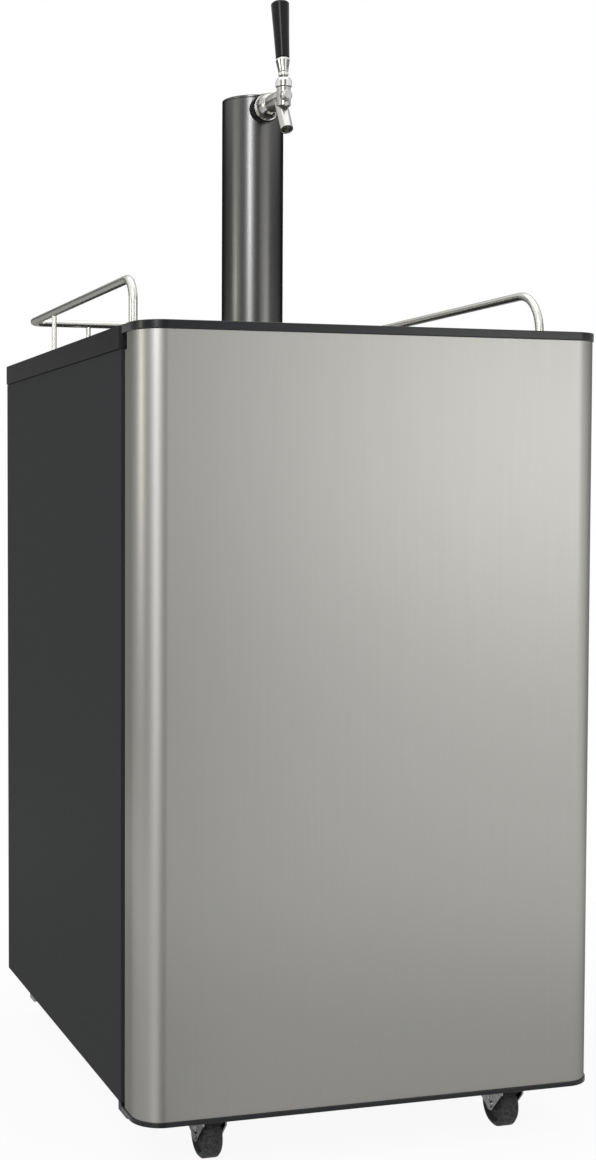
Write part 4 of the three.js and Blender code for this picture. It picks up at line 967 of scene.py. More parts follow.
@dataclass
class Cabinet(SubAssembly):
    """Sides, back, base, worktop and the screws that hold them."""

    sheet_edge: float = 0.5 * MM
    board_edge: float = 2.4 * MM
    screw_inset: float = 9 * MM
    back_screws: int = 5

    def build(self) -> None:
        """Builds the cabinet's outside."""
        for side in ("left", "right"):
            self.soften("side_panel_" + side, GREY_PAINT, self.sheet_edge)
        self.soften("back_panel", GREY_PAINT, self.sheet_edge / 2)
        self.soften("base_pan", ZINC, self.sheet_edge)
        self.soften("worktop", BLACK_PLASTIC, self.board_edge, 4)
        self.carry("insulation_foam", FOAM)
        self.screws()

    def screws(self) -> None:
        """Sets the screws up both edges of the back panel."""
        low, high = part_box("back_panel")
        rise = high.z - low.z - 2 * self.screw_inset
        spots = []
        for index in range(self.back_screws):
            z = low.z + self.screw_inset + index / (self.back_screws - 1) * rise
            for x in (low.x + self.screw_inset, high.x - self.screw_inset):
                spots.append(((x, high.y, z), (0, 1, 0)))
        self.hand_over(Screws().set("back_screws", spots, ZINC), [ZINC])


@dataclass
class Inside(SubAssembly):
    """Liner, floor plate, evaporator and thermostat."""

    liner_edge: float = 2 * MM
    plate_edge: float = 0.7 * MM
    knob_edge: float = 1.2 * MM
    grip_half: float = 2.6 * MM
    grip_inset: float = 1.5 * MM
    grip_root: float = 1 * MM
    grip_edge: float = 0.8 * MM
    pointer_half: float = 0.6 * MM
    pointer_relief: float = 0.2 * MM
    pointer_inset: float = 3 * MM
    tick_count: int = 9
    tick_length: float = 3 * MM
    tick_width: float = 0.7 * MM
    tick_gap: float = 1.2 * MM
    tick_depths: Pair = (-0.12 * MM, 0.1 * MM)
    dial_start: float = -45  # degrees
    dial_sweep: float = 270  # degrees

    def build(self) -> None:
        """Builds what shows when the door stands open."""
        self.soften("inner_liner", DARK_LINER, self.liner_edge, 3)
        self.soften("keg_floor_plate", ZINC, self.plate_edge)
        self.soften("evaporator_plate", ALUMINIUM, self.plate_edge)
        self.soften("thermostat_housing", DARK_LINER, self.liner_edge, 4)
        self.knob()
        self.ticks()

    def knob(self) -> None:
        """Makes the round knob with its grip and a pale pointer."""
        x, _, z = middle("thermostat_knob")
        radius = half_width("thermostat_knob")
        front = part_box("thermostat_knob")[0].y
        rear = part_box("thermostat_housing")[0].y - SEAT
        split = (front + rear) / 2
        place = Axis.Y.place((x, split, z))
        form = Form("knob").lathe(drum(radius, 0, rear - split), place, edge=self.knob_edge)
        half, reach = self.grip_half, radius - self.grip_inset
        form.block((x - half, front, z - reach), (x + half, split + self.grip_root, z + reach))
        form.soften(self.grip_edge, 3, 60)
        form.block((x - self.pointer_half, front - self.pointer_relief, z + radius / 3),
                   (x + self.pointer_half, front + self.pointer_relief, z + radius - self.pointer_inset), 1)
        self.hand_over(form, [BLACK_PLASTIC, SATIN], ["thermostat_knob"], "thermostat")

    def ticks(self) -> None:
        """Sets the dial's ticks round the knob, on the housing's face."""
        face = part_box("thermostat_housing")[0].y
        x, _, z = middle("thermostat_knob")
        reach = half_width("thermostat_knob") + self.tick_gap
        form = Form("dial_ticks")
        for index in range(self.tick_count):
            angle = math.radians(self.dial_start + self.dial_sweep * index / (self.tick_count - 1))
            out = Vector((math.cos(angle), 0, math.sin(angle)))
            side = Vector((-out.z, 0, out.x)) * self.tick_width / 2
            start = Vector((x, 0, z)) + out * reach
            end = start + out * self.tick_length
            flat = (start - side, start + side, end + side, end - side)
            form.loft([[Vector((p.x, face + depth, p.z)) for p in flat] for depth in self.tick_depths])
        self.hand_over(form, [SATIN])


@dataclass
class GuardRail(SubAssembly):
    """The bent tube round the worktop, with its posts and feet."""

    radius: float = 4.75 * MM
    post_radius: float = 3 * MM
    foot_radius: float = 8 * MM
    foot_height: float = 2 * MM
    foot_crown: float = 2.6 * MM
    foot_edge: float = 0.8 * MM
    left_bend: float = 25 * MM
    right_bend: float = 46 * MM
    back_bend: float = 18 * MM
    side_post_inset: float = 175 * MM
    back_post_offset: float = 162 * MM

    def build(self) -> None:
        """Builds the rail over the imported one."""
        low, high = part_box("guard_rail")
        x = high.x - self.foot_radius
        front, back = low.y + self.foot_radius, high.y - self.foot_radius
        top = high.z - self.radius
        corners = [(-x, front, low.z), (-x, front, top), (-x, back, top),
                   (x, back, top), (x, front, top), (x, front, low.z)]
        bends = [self.left_bend, self.back_bend, self.back_bend, self.right_bend]
        form = Form("rail").mesh(TUBES.tube(corners, bends, self.radius, SATIN, 32, 14))
        side_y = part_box("side_panel_left")[1].y - self.side_post_inset
        posts = [(-x, side_y), (x, side_y), (-self.back_post_offset, back), (self.back_post_offset, back)]
        for post in posts:
            form.lathe(drum(self.post_radius, 0, top - low.z), Axis.Z.place((*post, low.z)), 24)
        foot = [(0, 0), (self.foot_radius, 0), (self.foot_radius, self.foot_height),
                (self.post_radius, self.foot_crown), (0, self.foot_crown)]
        for post in [*posts, (-x, front), (x, front)]:
            form.lathe(foot, Axis.Z.place((*post, low.z)), 32, edge=self.foot_edge)
        self.hand_over(form, [SATIN], ["guard_rail"])


@dataclass
class Door(SubAssembly):
    """Stainless skin between two caps, with its liner, foam and seal."""

    skin_edge: float = 0.35 * MM
    cap_edge: float = 1.6 * MM
    liner_edge: float = 2.2 * MM
    seal_width: float = 16 * MM
    seal_section_shares: Outline = (  # across the seal's width, and from its front to its rear
        (0.0, 0.12), (0.1, 0.0), (0.42, 0.0), (0.5, 0.22), (0.58, 0.0), (0.9, 0.0), (1.0, 0.12), (0.93, 0.3),
        (0.8, 0.42), (0.93, 0.55), (1.0, 0.72), (0.97, 0.96), (0.85, 1.0), (0.15, 1.0), (0.03, 0.96),
        (0.0, 0.72), (0.07, 0.55), (0.2, 0.42), (0.07, 0.3))
    seal_fold_share: float = 0.05
    seal_crease: float = 50  # degrees

    def build(self) -> None:
        """Builds the door's pieces on the body that swings."""
        self.soften("door_skin", STAINLESS, self.skin_edge, body="door")
        for node in ("door_top_cap", "door_bottom_cap"):
            self.soften(node, CAP_PLASTIC, self.cap_edge, 4, "door")
        self.soften("door_liner", DARK_LINER, self.liner_edge, 4, "door")
        self.carry("door_foam", FOAM)
        self.seal()

    def seal(self) -> None:
        """Makes the seal: a folded section swept round a mitred frame."""
        low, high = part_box("door_gasket")
        smooth = rounded(self.seal_section_shares, self.seal_fold_share, 3, closed=True)
        rings = []
        for x, z, sx, sz in ((low.x, low.z, -1, -1), (high.x, low.z, 1, -1),
                             (high.x, high.z, 1, 1), (low.x, high.z, -1, 1)):
            rings.append([Vector((x - sx * share * self.seal_width, low.y + rise * (high.y - low.y),
                                  z - sz * share * self.seal_width)) for share, rise in smooth])
        form = Form("door_seal", self.seal_crease).loft(rings, looped=True)
        self.hand_over(form, [RUBBER], ["door_gasket"], "door")


@dataclass
class Hinges(SubAssembly):
    """The two door hinges."""

    edge: float = 0.9 * MM
    screw_inset: float = 7 * MM
    screw_rise: float = 4 * MM  # how far the screwed plate lies above the pan's underside
    screw_rows: Pair = (8 * MM, 24 * MM)
    screw_radius: float = 2.6 * MM
    screw_height: float = 1.5 * MM

    def build(self) -> None:
        """Builds both brackets and the screws under the lower one."""
        self.soften("top_hinge_bracket", GLOSS_BLACK, self.edge, 3)
        self.soften("bottom_hinge_bracket", BLACK_PAINT, self.edge, 3)
        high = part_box("bottom_hinge_bracket")[1]
        z = heights("base_pan")[0] + self.screw_rise
        spots = [((high.x - self.screw_inset, high.y - row, z), (0, 0, -1)) for row in self.screw_rows]
        screws = Screws(self.screw_radius, self.screw_height)
        self.hand_over(screws.set("hinge_screws", spots, ZINC), [ZINC])


@dataclass
class Tower(SubAssembly):
    """The tap tower on the worktop and the beer line in it."""

    wall: float = 1.5 * MM
    flange_height: float = 4 * MM
    flange_inset: float = 13 * MM  # how far the flange reaches in under the tube
    collar_wall: float = 3 * MM
    edge: float = 0.8 * MM
    line_radius: float = 4.5 * MM
    line_bend: float = 22 * MM
    fitting_length: float = 16 * MM
    fitting_radius: float = 8 * MM
    fitting_edge: float = 1 * MM
    turns: int = 128

    def build(self) -> None:
        """Builds the tower from its foot to its cap."""
        radius = half_width("tower_tube")
        place = Axis.Z.place((0, middle("tower_tube")[1], 0))
        low, high = heights("tower_tube")
        bore = radius - self.wall
        tube = [(bore, low), (radius, low), (radius, high), (bore, high)]
        self.turn("tower_shell", "tower_tube", SMOKED, tube, place, self.edge / 3, 2, self.turns)
        lid = drum(radius, high + SEAT, heights("tower_cap")[1])
        self.turn("tower_lid", "tower_cap", SMOKED, lid, place, self.edge, 4, self.turns)
        foot = self.foot(radius)
        self.turn("tower_foot", "tower_flange", SMOKED, foot, place, self.edge, 3, self.turns)
        self.line()
        self.carry("tower_insulation", FOAM)

    def foot(self, radius: float) -> list[Pair]:
        """Gives the outline of the flange with its raised collar.

        Args:
            radius: The tube's outer radius.

        Returns:
            Points of radius and height.
        """
        low, high = heights("tower_flange")
        outer, inner, step = half_width("tower_flange"), radius - self.flange_inset, low + self.flange_height
        collar = radius + SEAT
        rim = collar + self.collar_wall
        return [(inner, low), (outer, low), (outer, step), (rim, step), (rim, high), (collar, high),
                (collar, step), (inner, step)]

    def line(self) -> None:
        """Makes the beer line and the six-sided fitting at its lower end."""
        low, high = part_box("beer_line")
        fitting_y = high.y - self.fitting_radius
        top = high.z - self.line_radius
        corners = [(0, low.y, top), (0, fitting_y, top), (0, fitting_y, low.z + self.fitting_length)]
        form = Form("hose").mesh(TUBES.tube(corners, [self.line_bend], self.line_radius, HOSE, 24, 14))
        fitting = drum(self.fitting_radius, 0, self.fitting_length)
        form.lathe(fitting, Axis.Z.place((0, fitting_y, low.z)), 6, 1, self.fitting_edge, 2)
        self.hand_over(form, [HOSE, CHROME], ["beer_line"])


@dataclass
class Tap(SubAssembly):
    """The chrome tap with its shank, lever and black handle."""

    shank_radius: float = 11 * MM
    shank_edge: float = 0.5 * MM
    bore: float = 3.5 * MM
    flange_radius: float = 16 * MM
    flange_depth: float = 3.7 * MM
    collar_edge: float = 0.6 * MM
    nut_radius: float = 15 * MM
    nut_neck: float = 8.3 * MM
    nut_lip: float = 4.7 * MM
    nut_edge: float = 0.8 * MM
    dome_depth: float = 10 * MM  # from the coupling nut's front to the dome's widest circle
    dome_rise: float = 14.4 * MM  # the height that the whole dome would have
    dome_sweep: float = 43.9  # degrees of the dome that are there
    dome_steps: int = 8
    rim_depths: Pair = (4 * MM, 3 * MM)
    rim_step: float = 1.2 * MM
    cone: Outline = mm((0, -12), (6.8, -12), (7.2, 0), (10, 10), (10.6, 20), (10.6, 34.8), (8, 34.8))
    cone_edge: float = 2.2 * MM
    button: Triple = (5.3 * MM, -14.5 * MM, -10 * MM)  # radius, front and rear
    button_edge: float = 0.9 * MM
    barrel: Triple = (8.4 * MM, -11 * MM, 11 * MM)  # radius, foot and top
    barrel_edge: float = 0.6 * MM
    # The vent is drawn as a short black plug: painted shade for the dark inside of the vent hole.
    vent: Triple = (2.2 * MM, 0, 3 * MM)  # radius, front and rear
    vent_ahead: float = 8.8 * MM
    vent_drop: float = 10 * MM
    web_start: Triple = (0, 27.1 * MM, 0)
    web_end: Triple = (0, 2 * MM, 4.6 * MM)
    web_radii: Pair = (9.6 * MM, 5.6 * MM)
    web_rows: int = 8
    spout_start: Triple = (0, 9 * MM, -6 * MM)
    spout_end: Triple = (0, -10.5 * MM, -40.5 * MM)
    spout_radius: float = 7.7 * MM
    spout_flare: float = 0.3 * MM  # how much wider the spout's root is
    spout_wall: float = 1.3 * MM
    spout_rows: int = 18
    crease_share: float = 0.16  # depth of the crease at the root, as a share of the radius
    crease_fade: float = 0.7
    crease_narrowness: float = 14
    mouth_depths: Triple = (0, 6 * MM, 13 * MM)
    # The black lining and plug inside the spout's bore are painted shade, standing for the dark deep in the
    # mouth.
    mouth_shade_lining: Outline = mm((0.6, 0.05), (12.8, 0.05), (12.8, 0.4), (0.6, 0.4))  # depth, gap to the wall
    mouth_shade_plug: Outline = mm((12, 0.5), (12.8, 0.5))  # depth, gap to the wall
    ring_turns: int = 64
    valve_edge: float = 0.3 * MM
    bonnet_bore: float = 6.3 * MM
    bonnet_slope: float = 3.4 * MM
    bonnet_lip: float = 0.7 * MM
    bonnet_edge: float = 0.9 * MM
    lean: float = 8.0  # degrees that the closed lever leans back
    pivot_rise: float = 19 * MM
    tip: Outline = mm((0, -17.6), (1.6, -17.1), (2.6, -15), (1.9, -13.2), (1.9, -5.7))
    ball_radius: float = 6 * MM
    ball_start: float = 18  # degrees from the ball's lowest point
    ball_sweep: float = 132  # degrees
    ball_steps: int = 11
    stud: Outline = mm((3, 5.3), (3, 20), (0, 20))
    collar: Outline = mm((2, 5.3), (6, 5.5), (6, 10), (2, 10))
    collar_round: float = 1.2 * MM
    ferrule: Outline = mm((0, 10.3), (5.9, 10.3), (6.6, 15), (8.3, 24), (8.3, 26.5), (0, 26.5))
    ferrule_edge: float = 0.9 * MM
    grip: Outline = mm((0, 26.8), (8.2, 26.8), (8.4, 33), (9.4, 60), (11, 94.2), (8.8, 96.2), (0, 96.2))
    grip_edge: float = 1.6 * MM

    def __post_init__(self) -> None:
        """Reads where the tap's upright axis crosses its shank's axis."""
        self.centre = Vector((0, middle("faucet_bonnet")[1], middle("faucet_shank")[2]))
        self.along = Axis.Y.place(self.centre)

    def build(self) -> None:
        """Builds the tap from the tower outwards."""
        self.shank()
        self.coupling()
        self.body()
        self.soften("valve_shaft", SATIN, self.valve_edge, body="valve")
        self.bonnet()
        self.lever()

    def span(self, node: str) -> Pair:
        """Gives a node's front and rear, measured from the tap's upright axis."""
        low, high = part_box(node)
        return low.y - self.centre.y, high.y - self.centre.y

    def shank(self) -> None:
        """Makes the threaded shank, its saddle on the tower and its lock nut inside."""
        front, rear = self.span("faucet_shank")
        flange = self.span("shank_collar")[0] - SEAT
        face = flange - self.flange_depth
        bore, radius, wide = self.bore, self.shank_radius, self.flange_radius
        wall = [(bore, front), (radius, front), (radius, face), (wide, face), (wide, flange),
                (radius, flange), (radius, rear), (bore, rear)]
        self.turn("tap_shank", "faucet_shank", CHROME, wall, self.along, self.shank_edge, 3, 72)
        self.soften("shank_collar", GLOSS_BLACK, self.collar_edge, 3)
        self.soften("shank_nut", CHROME, self.shank_edge)

    def coupling(self) -> None:
        """Makes the coupling nut: a domed front and a stepped rear rim."""
        front, rear = self.span("coupling_nut")
        radius, lip, inner = self.nut_radius, front + self.nut_lip, self.shank_radius + SEAT
        waist = radius - self.rim_step
        dome = []
        for step in range(self.dome_steps + 1):
            angle = math.radians(self.dome_sweep * (1 - step / self.dome_steps))
            depth = self.dome_depth - self.dome_rise * math.sin(angle)
            dome.append((radius * math.cos(angle), front + depth))
        wall = [(self.nut_neck, front), *dome, (radius, rear - self.rim_depths[0]),
                (waist, rear - self.rim_depths[1]), (waist, rear), (inner, rear), (inner, lip),
                (self.nut_neck, lip)]
        self.turn("tap_coupling", "coupling_nut", TAP_CHROME, wall, self.along, self.nut_edge, 3)

    def body(self) -> None:
        """Makes the tap's body: cone, barrel, nose with its button, web, spout and vent."""
        rear = self.span("faucet_body")[1]
        cone = [*self.cone, (self.cone[-1][0], rear), (0, rear)]
        form = Form("tap_body").lathe(cone, self.along, edge=self.cone_edge, steps=6)
        form.lathe(drum(*self.button), self.along, 72, 0, self.button_edge, 5)
        form.lathe(drum(*self.barrel), Axis.Z.place(self.centre), 96, 0, self.barrel_edge, 3)
        self.web(form)
        self.spout(form)
        # Painted shade: the vent hole is a short black plug below the nose.
        vent = self.centre - Vector((0, self.vent_ahead, self.vent_drop))
        form.lathe(drum(*self.vent), Axis.Y.place(vent), 24, 1)
        self.hand_over(form, [TAP_CHROME, GLOSS_BLACK], ["faucet_body"])

    def web(self, form: Form) -> None:
        """Adds the web that rises from the cone to the barrel's top.

        Args:
            form: The tap body's form.
        """
        start, end = self.centre + Vector(self.web_start), self.centre + Vector(self.web_end)
        up = (end - start).cross(SIDEWAYS).normalized()
        first, last = self.web_radii
        shares = [row / self.web_rows for row in range(self.web_rows + 1)]
        form.loft([self.ring(start.lerp(end, share), up, first + (last - first) * share) for share in shares])

    def spout(self, form: Form) -> None:
        """Adds the slanted spout with a soft crease down its front, and painted shade in its mouth: a black
        lining and plug inside the bore.

        Args:
            form: The tap body's form.
        """
        top, end = self.centre + Vector(self.spout_start), self.centre + Vector(self.spout_end)
        down = (end - top).normalized()
        front = down.cross(SIDEWAYS).normalized()
        outer = []
        for row in range(self.spout_rows + 1):
            share = row / self.spout_rows
            radius = self.spout_radius + self.spout_flare * (1 - share)
            crease = self.crease_share * (1 - share) ** self.crease_fade
            outer.append(self.ring(top.lerp(end, share), front, radius, crease))
        mouth = self.spout_radius - self.spout_wall
        inner = [self.ring(end - down * depth, front, mouth) for depth in self.mouth_depths]
        form.loft([*outer, *inner])
        # Painted shade: a black lining and plug inside the mouth.
        for table, looped in ((self.mouth_shade_lining, True), (self.mouth_shade_plug, False)):
            form.loft([self.ring(end - down * depth, front, mouth - gap) for depth, gap in table], 1, looped)

    def ring(self, centre: Vector, front: Vector, radius: float, crease: float = 0) -> list[Vector]:
        """Gives one ring of the spout or the web.

        Args:
            centre: The ring's middle.
            front: Its direction to the front.
            radius: Its radius.
            crease: How far the front is pressed in, as a share of the radius.

        Returns:
            The ring's points.
        """
        made = []
        for index in range(self.ring_turns):
            angle = FULL_TURN * index / self.ring_turns
            cosine, sine = math.cos(angle), math.sin(angle)
            press = crease * math.exp((abs(sine) - 1) * self.crease_narrowness) if sine > 0 else 0
            made.append(centre + (SIDEWAYS * cosine + front * sine) * radius * (1 - press))
        return made

    def bonnet(self) -> None:
        """Makes the bonnet on the barrel, with its sloped top."""
        low, high = heights("faucet_bonnet")
        radius, bore = half_width("faucet_bonnet"), self.bonnet_bore
        wall = [(bore, low), (radius, low), (radius, high - self.bonnet_slope),
                (bore + self.bonnet_lip, high), (bore, high)]
        place = Axis.Z.place((0, self.centre.y, 0))
        self.turn("tap_bonnet", "faucet_bonnet", CHROME, wall, place, self.bonnet_edge)

    def lever(self) -> None:
        """Makes the lever with its ball and collar, the ferrule and the handle, all leaning back."""
        pivot = Matrix.Translation(self.centre + Vector((0, 0, self.pivot_rise)))
        place = pivot @ Matrix.Rotation(-math.radians(self.lean), 4, "X")
        ball = []
        for step in range(1, self.ball_steps + 1):
            angle = math.radians(self.ball_start + self.ball_sweep * step / self.ball_steps)
            ball.append((self.ball_radius * math.sin(angle), -self.ball_radius * math.cos(angle)))
        form = Form("tap_stem").lathe([*self.tip, *ball, *self.stud], place, 64)
        collar = rounded(self.collar, self.collar_round, 5)
        form.lathe([(0, collar[0][1]), *collar, (0, collar[-1][1])], place, 72)
        self.hand_over(form, [CHROME], ["tap_lever"], "tap")
        self.turn("tap_ferrule", "handle_ferrule", CHROME, self.ferrule, place, self.ferrule_edge, body="tap")
        self.turn("tap_grip", "tap_handle", GLOSS_BLACK, self.grip, place, self.grip_edge, 5, body="tap")


@dataclass
class DripTray(SubAssembly):
    """The tray on the worktop and its grille."""

    tray_edge: float = 0.6 * MM
    grille_edge: float = 0.4 * MM

    def build(self) -> None:
        """Builds the tray and the grille that lifts out of it."""
        self.soften("drip_tray", BLACK_PLASTIC, self.tray_edge, 3, "tray")
        self.soften("drip_grille", SATIN, self.grille_edge, body="grille")


@dataclass
class Machine(SubAssembly):
    """The cold machine in the open space at the back."""

    sheet_edge: float = 0.5 * MM
    cover_edge: float = 4 * MM
    gland_edge: float = 0.4 * MM
    shell_half: Pair = (75 * MM, 52 * MM)
    shell_power: float = 2.6  # 2 would be an ellipse
    shell_turns: int = 96
    # The shell's outline: millimetres from its foot, its seam and its top, with shares of its half.
    foot_shares: Outline = ((0, 0.7), (5, 0.86), (14, 0.96), (26, 1))
    seam_shares: Outline = ((-2.2, 1), (-2, 1.03), (2, 1.03), (2.2, 0.985))
    top_shares: Outline = ((-34, 0.985), (-18, 0.93), (-8, 0.8), (-2, 0.56), (0, 0.3))
    shell_round: float = 0.006
    foot_top: float = 11 * MM
    plate_inset: float = 3 * MM
    plate_thickness: float = 3 * MM
    plate_edge: float = 0.8 * MM
    pad_inset: float = 12 * MM
    pad: Outline = mm((0, 0), (6, 0), (5, 4), (6, 8), (0, 8))
    pad_edge: float = 1 * MM
    bolt: Triple = (5 * MM, 0, 3.5 * MM)  # radius, foot and top
    bolt_edge: float = 0.6 * MM
    coil_radius: float = 2.6 * MM
    coil_inset: float = 52 * MM
    coil_rise: float = 40 * MM
    coil_drop: float = 60 * MM
    inlet_bend: float = 12 * MM
    passes: int = 10
    strap: float = 14 * MM
    strap_inset: float = 70 * MM
    strap_thickness: float = 1.2 * MM
    strap_foot: float = 10 * MM
    wire_radius: float = 0.75 * MM
    wire_pitch: float = 9 * MM
    wire_inset: float = 34 * MM
    wire_overhang: float = 8 * MM
    wire_sink_share: float = 0.7
    wire_crease: float = 60  # degrees
    drier_neck: float = 3 * MM
    drier_neck_length: float = 10 * MM
    drier_shoulder: float = 20 * MM
    drier_edge: float = 3 * MM
    pipe_radius: float = 3.2 * MM
    pipe_bend: float = 11.7 * MM

    def build(self) -> None:
        """Builds the compressor, the condenser and their pipes."""
        self.soften("compressor_plate", ZINC, self.sheet_edge)
        self.soften("relay_cover", BLACK_PLASTIC, self.cover_edge, 4)
        self.soften("evaporation_pan", BLACK_PLASTIC, self.sheet_edge)
        self.compressor()
        self.condenser()
        self.drier()
        self.pipe()
        self.soften("cord_gland", BLACK_PLASTIC, self.gland_edge)

    def oval(self, share: float, z: float, centre: Pair) -> list[Vector]:
        """Gives one ring of the compressor's shell.

        Args:
            share: Its size, as a share of the shell's.
            z: Its height.
            centre: Its middle.

        Returns:
            The ring's points.
        """
        made = []
        power = 2 / self.shell_power
        for index in range(self.shell_turns):
            angle = FULL_TURN * index / self.shell_turns
            cosine, sine = math.cos(angle), math.sin(angle)
            x = math.copysign(abs(cosine) ** power, cosine) * self.shell_half[0] * share
            y = math.copysign(abs(sine) ** power, sine) * self.shell_half[1] * share
            made.append(Vector((centre[0] + x, centre[1] + y, z)))
        return made

    def compressor(self) -> None:
        """Makes the domed shell with its welded seam, on a foot plate with pads and bolts."""
        low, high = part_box("compressor")
        centre = middle("compressor")[:2]
        foot_top = low.z + self.foot_top
        levels = ((foot_top, self.foot_shares), ((foot_top + high.z) / 2, self.seam_shares),
                  (high.z, self.top_shares))
        shares = [(level + rise * MM, share) for level, table in levels for rise, share in table]
        form = Form("compressor_shell")
        form.loft([self.oval(share, z, centre) for z, share in rounded(shares, self.shell_round)])
        plate = Form("foot").block((low.x, low.y + self.plate_inset, foot_top - self.plate_thickness),
                                   (high.x, high.y - self.plate_inset, foot_top))
        form.take(plate.soften(self.plate_edge).bm)
        for x in (low.x + self.pad_inset, high.x - self.pad_inset):
            for y in (low.y + self.pad_inset, high.y - self.pad_inset):
                form.lathe(self.pad, Axis.Z.place((x, y, low.z)), 24, 1, self.pad_edge, 3)
                form.lathe(drum(*self.bolt), Axis.Z.place((x, y, foot_top)), 6, 2, self.bolt_edge, 2)
        self.hand_over(form, [BLACK_PAINT, RUBBER, ZINC], ["compressor"])

    def condenser(self) -> None:
        """Makes the serpentine tube with its straps, and the fine wires on both sides of it."""
        low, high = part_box("condenser_coil")
        y = high.y - self.coil_radius
        drier_x = middle("filter_drier")[0]
        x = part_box("side_panel_right")[1].x - self.coil_inset
        z0 = heights("base_pan")[1] + self.coil_rise
        z1 = heights("side_panel_left")[1] - self.coil_drop
        pitch = (z1 - z0) / (self.passes - 1)
        corners = [(drier_x, y, low.z), (drier_x, y, z0)]
        for index in range(self.passes):
            end = x if index % 2 == 0 else -x
            z = z0 + pitch * index
            if index:
                corners.append((-end, y, z))
            corners.append((end if index < self.passes - 1 else end + math.copysign(pitch, -end), y, z))
        bends = [self.inlet_bend] + [pitch / 2 - SEAT] * (len(corners) - 3)
        form = Form("condenser_tube").mesh(TUBES.tube(corners, bends, self.coil_radius, BLACK_PAINT, 16))
        self.straps(form, x - self.strap_inset, y - self.coil_radius, (z0 - pitch / 2, z1 + pitch / 2))
        self.hand_over(form, [BLACK_PAINT], ["condenser_coil"])
        self.wires(x - self.wire_inset, y, z0, z1)

    def straps(self, form: Form, reach: float, front: float, ends: Pair) -> None:
        """Adds the two straps in front of the tube, with their feet on the back panel.

        Args:
            form: The condenser's form.
            reach: How far each strap lies from the middle.
            front: The tube's front.
            ends: The straps' lower and upper end.
        """
        panel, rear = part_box("back_panel")[1].y, front + self.strap_thickness
        for middle_x in (-reach, reach):
            near, far = middle_x - self.strap / 2, middle_x + self.strap / 2
            form.block((near, front, ends[0]), (far, rear, ends[1]))
            for z in (ends[0], ends[1] - self.strap_foot):
                form.block((near, panel + SEAT, z), (far, rear, z + self.strap_foot))

    def wires(self, reach: float, y: float, z0: float, z1: float) -> None:
        """Makes the two rows of upright wires.

        Args:
            reach: How far the first wire lies from the middle.
            y: Where the coil lies.
            z0: The lowest pass.
            z1: The highest pass.
        """
        count = int(2 * reach / self.wire_pitch) + 1
        offset = self.coil_radius + self.wire_radius * self.wire_sink_share
        length = z1 - z0 + 2 * self.wire_overhang
        form = Form("condenser_wires", self.wire_crease)
        for side in (-1, 1):
            start = (-reach, y + side * offset, (z0 + z1) / 2)
            form.mesh(WIRES.row(start, self.wire_pitch, count, self.wire_radius, length, BLACK_PAINT))
        self.hand_over(form, [BLACK_PAINT])

    def drier(self) -> None:
        """Makes the copper filter drier."""
        low, high = heights("filter_drier")
        radius, neck = half_width("filter_drier"), self.drier_neck
        wall = [(0, low), (neck, low), (neck, low + self.drier_neck_length),
                (radius, low + self.drier_shoulder), (radius, high - self.drier_shoulder),
                (neck, high - self.drier_neck_length), (neck, high), (0, high)]
        place = Axis.Z.place((*middle("filter_drier")[:2], 0))
        self.turn("copper_drier", "filter_drier", COPPER, wall, place, self.drier_edge, 6, 64)

    def pipe(self) -> None:
        """Makes the bent copper pipe from the drier to the compressor."""
        low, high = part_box("refrigerant_pipe")
        radius = self.pipe_radius
        x0, y0, _ = middle("filter_drier")
        rise = (x0 + high.x) / 2
        y1, low_z, high_z = low.y + radius, low.z + radius, high.z - radius
        corners = [(x0, y0, heights("filter_drier")[0] - SEAT), (x0, y0, low_z), (rise, y0, low_z),
                   (rise, y1, low_z), (rise, y1, high_z), (high.x, y1, high_z)]
        form = Form("copper_pipe").mesh(TUBES.tube(corners, [self.pipe_bend] * 4, radius, COPPER, 20))
        self.hand_over(form, [COPPER], ["refrigerant_pipe"])


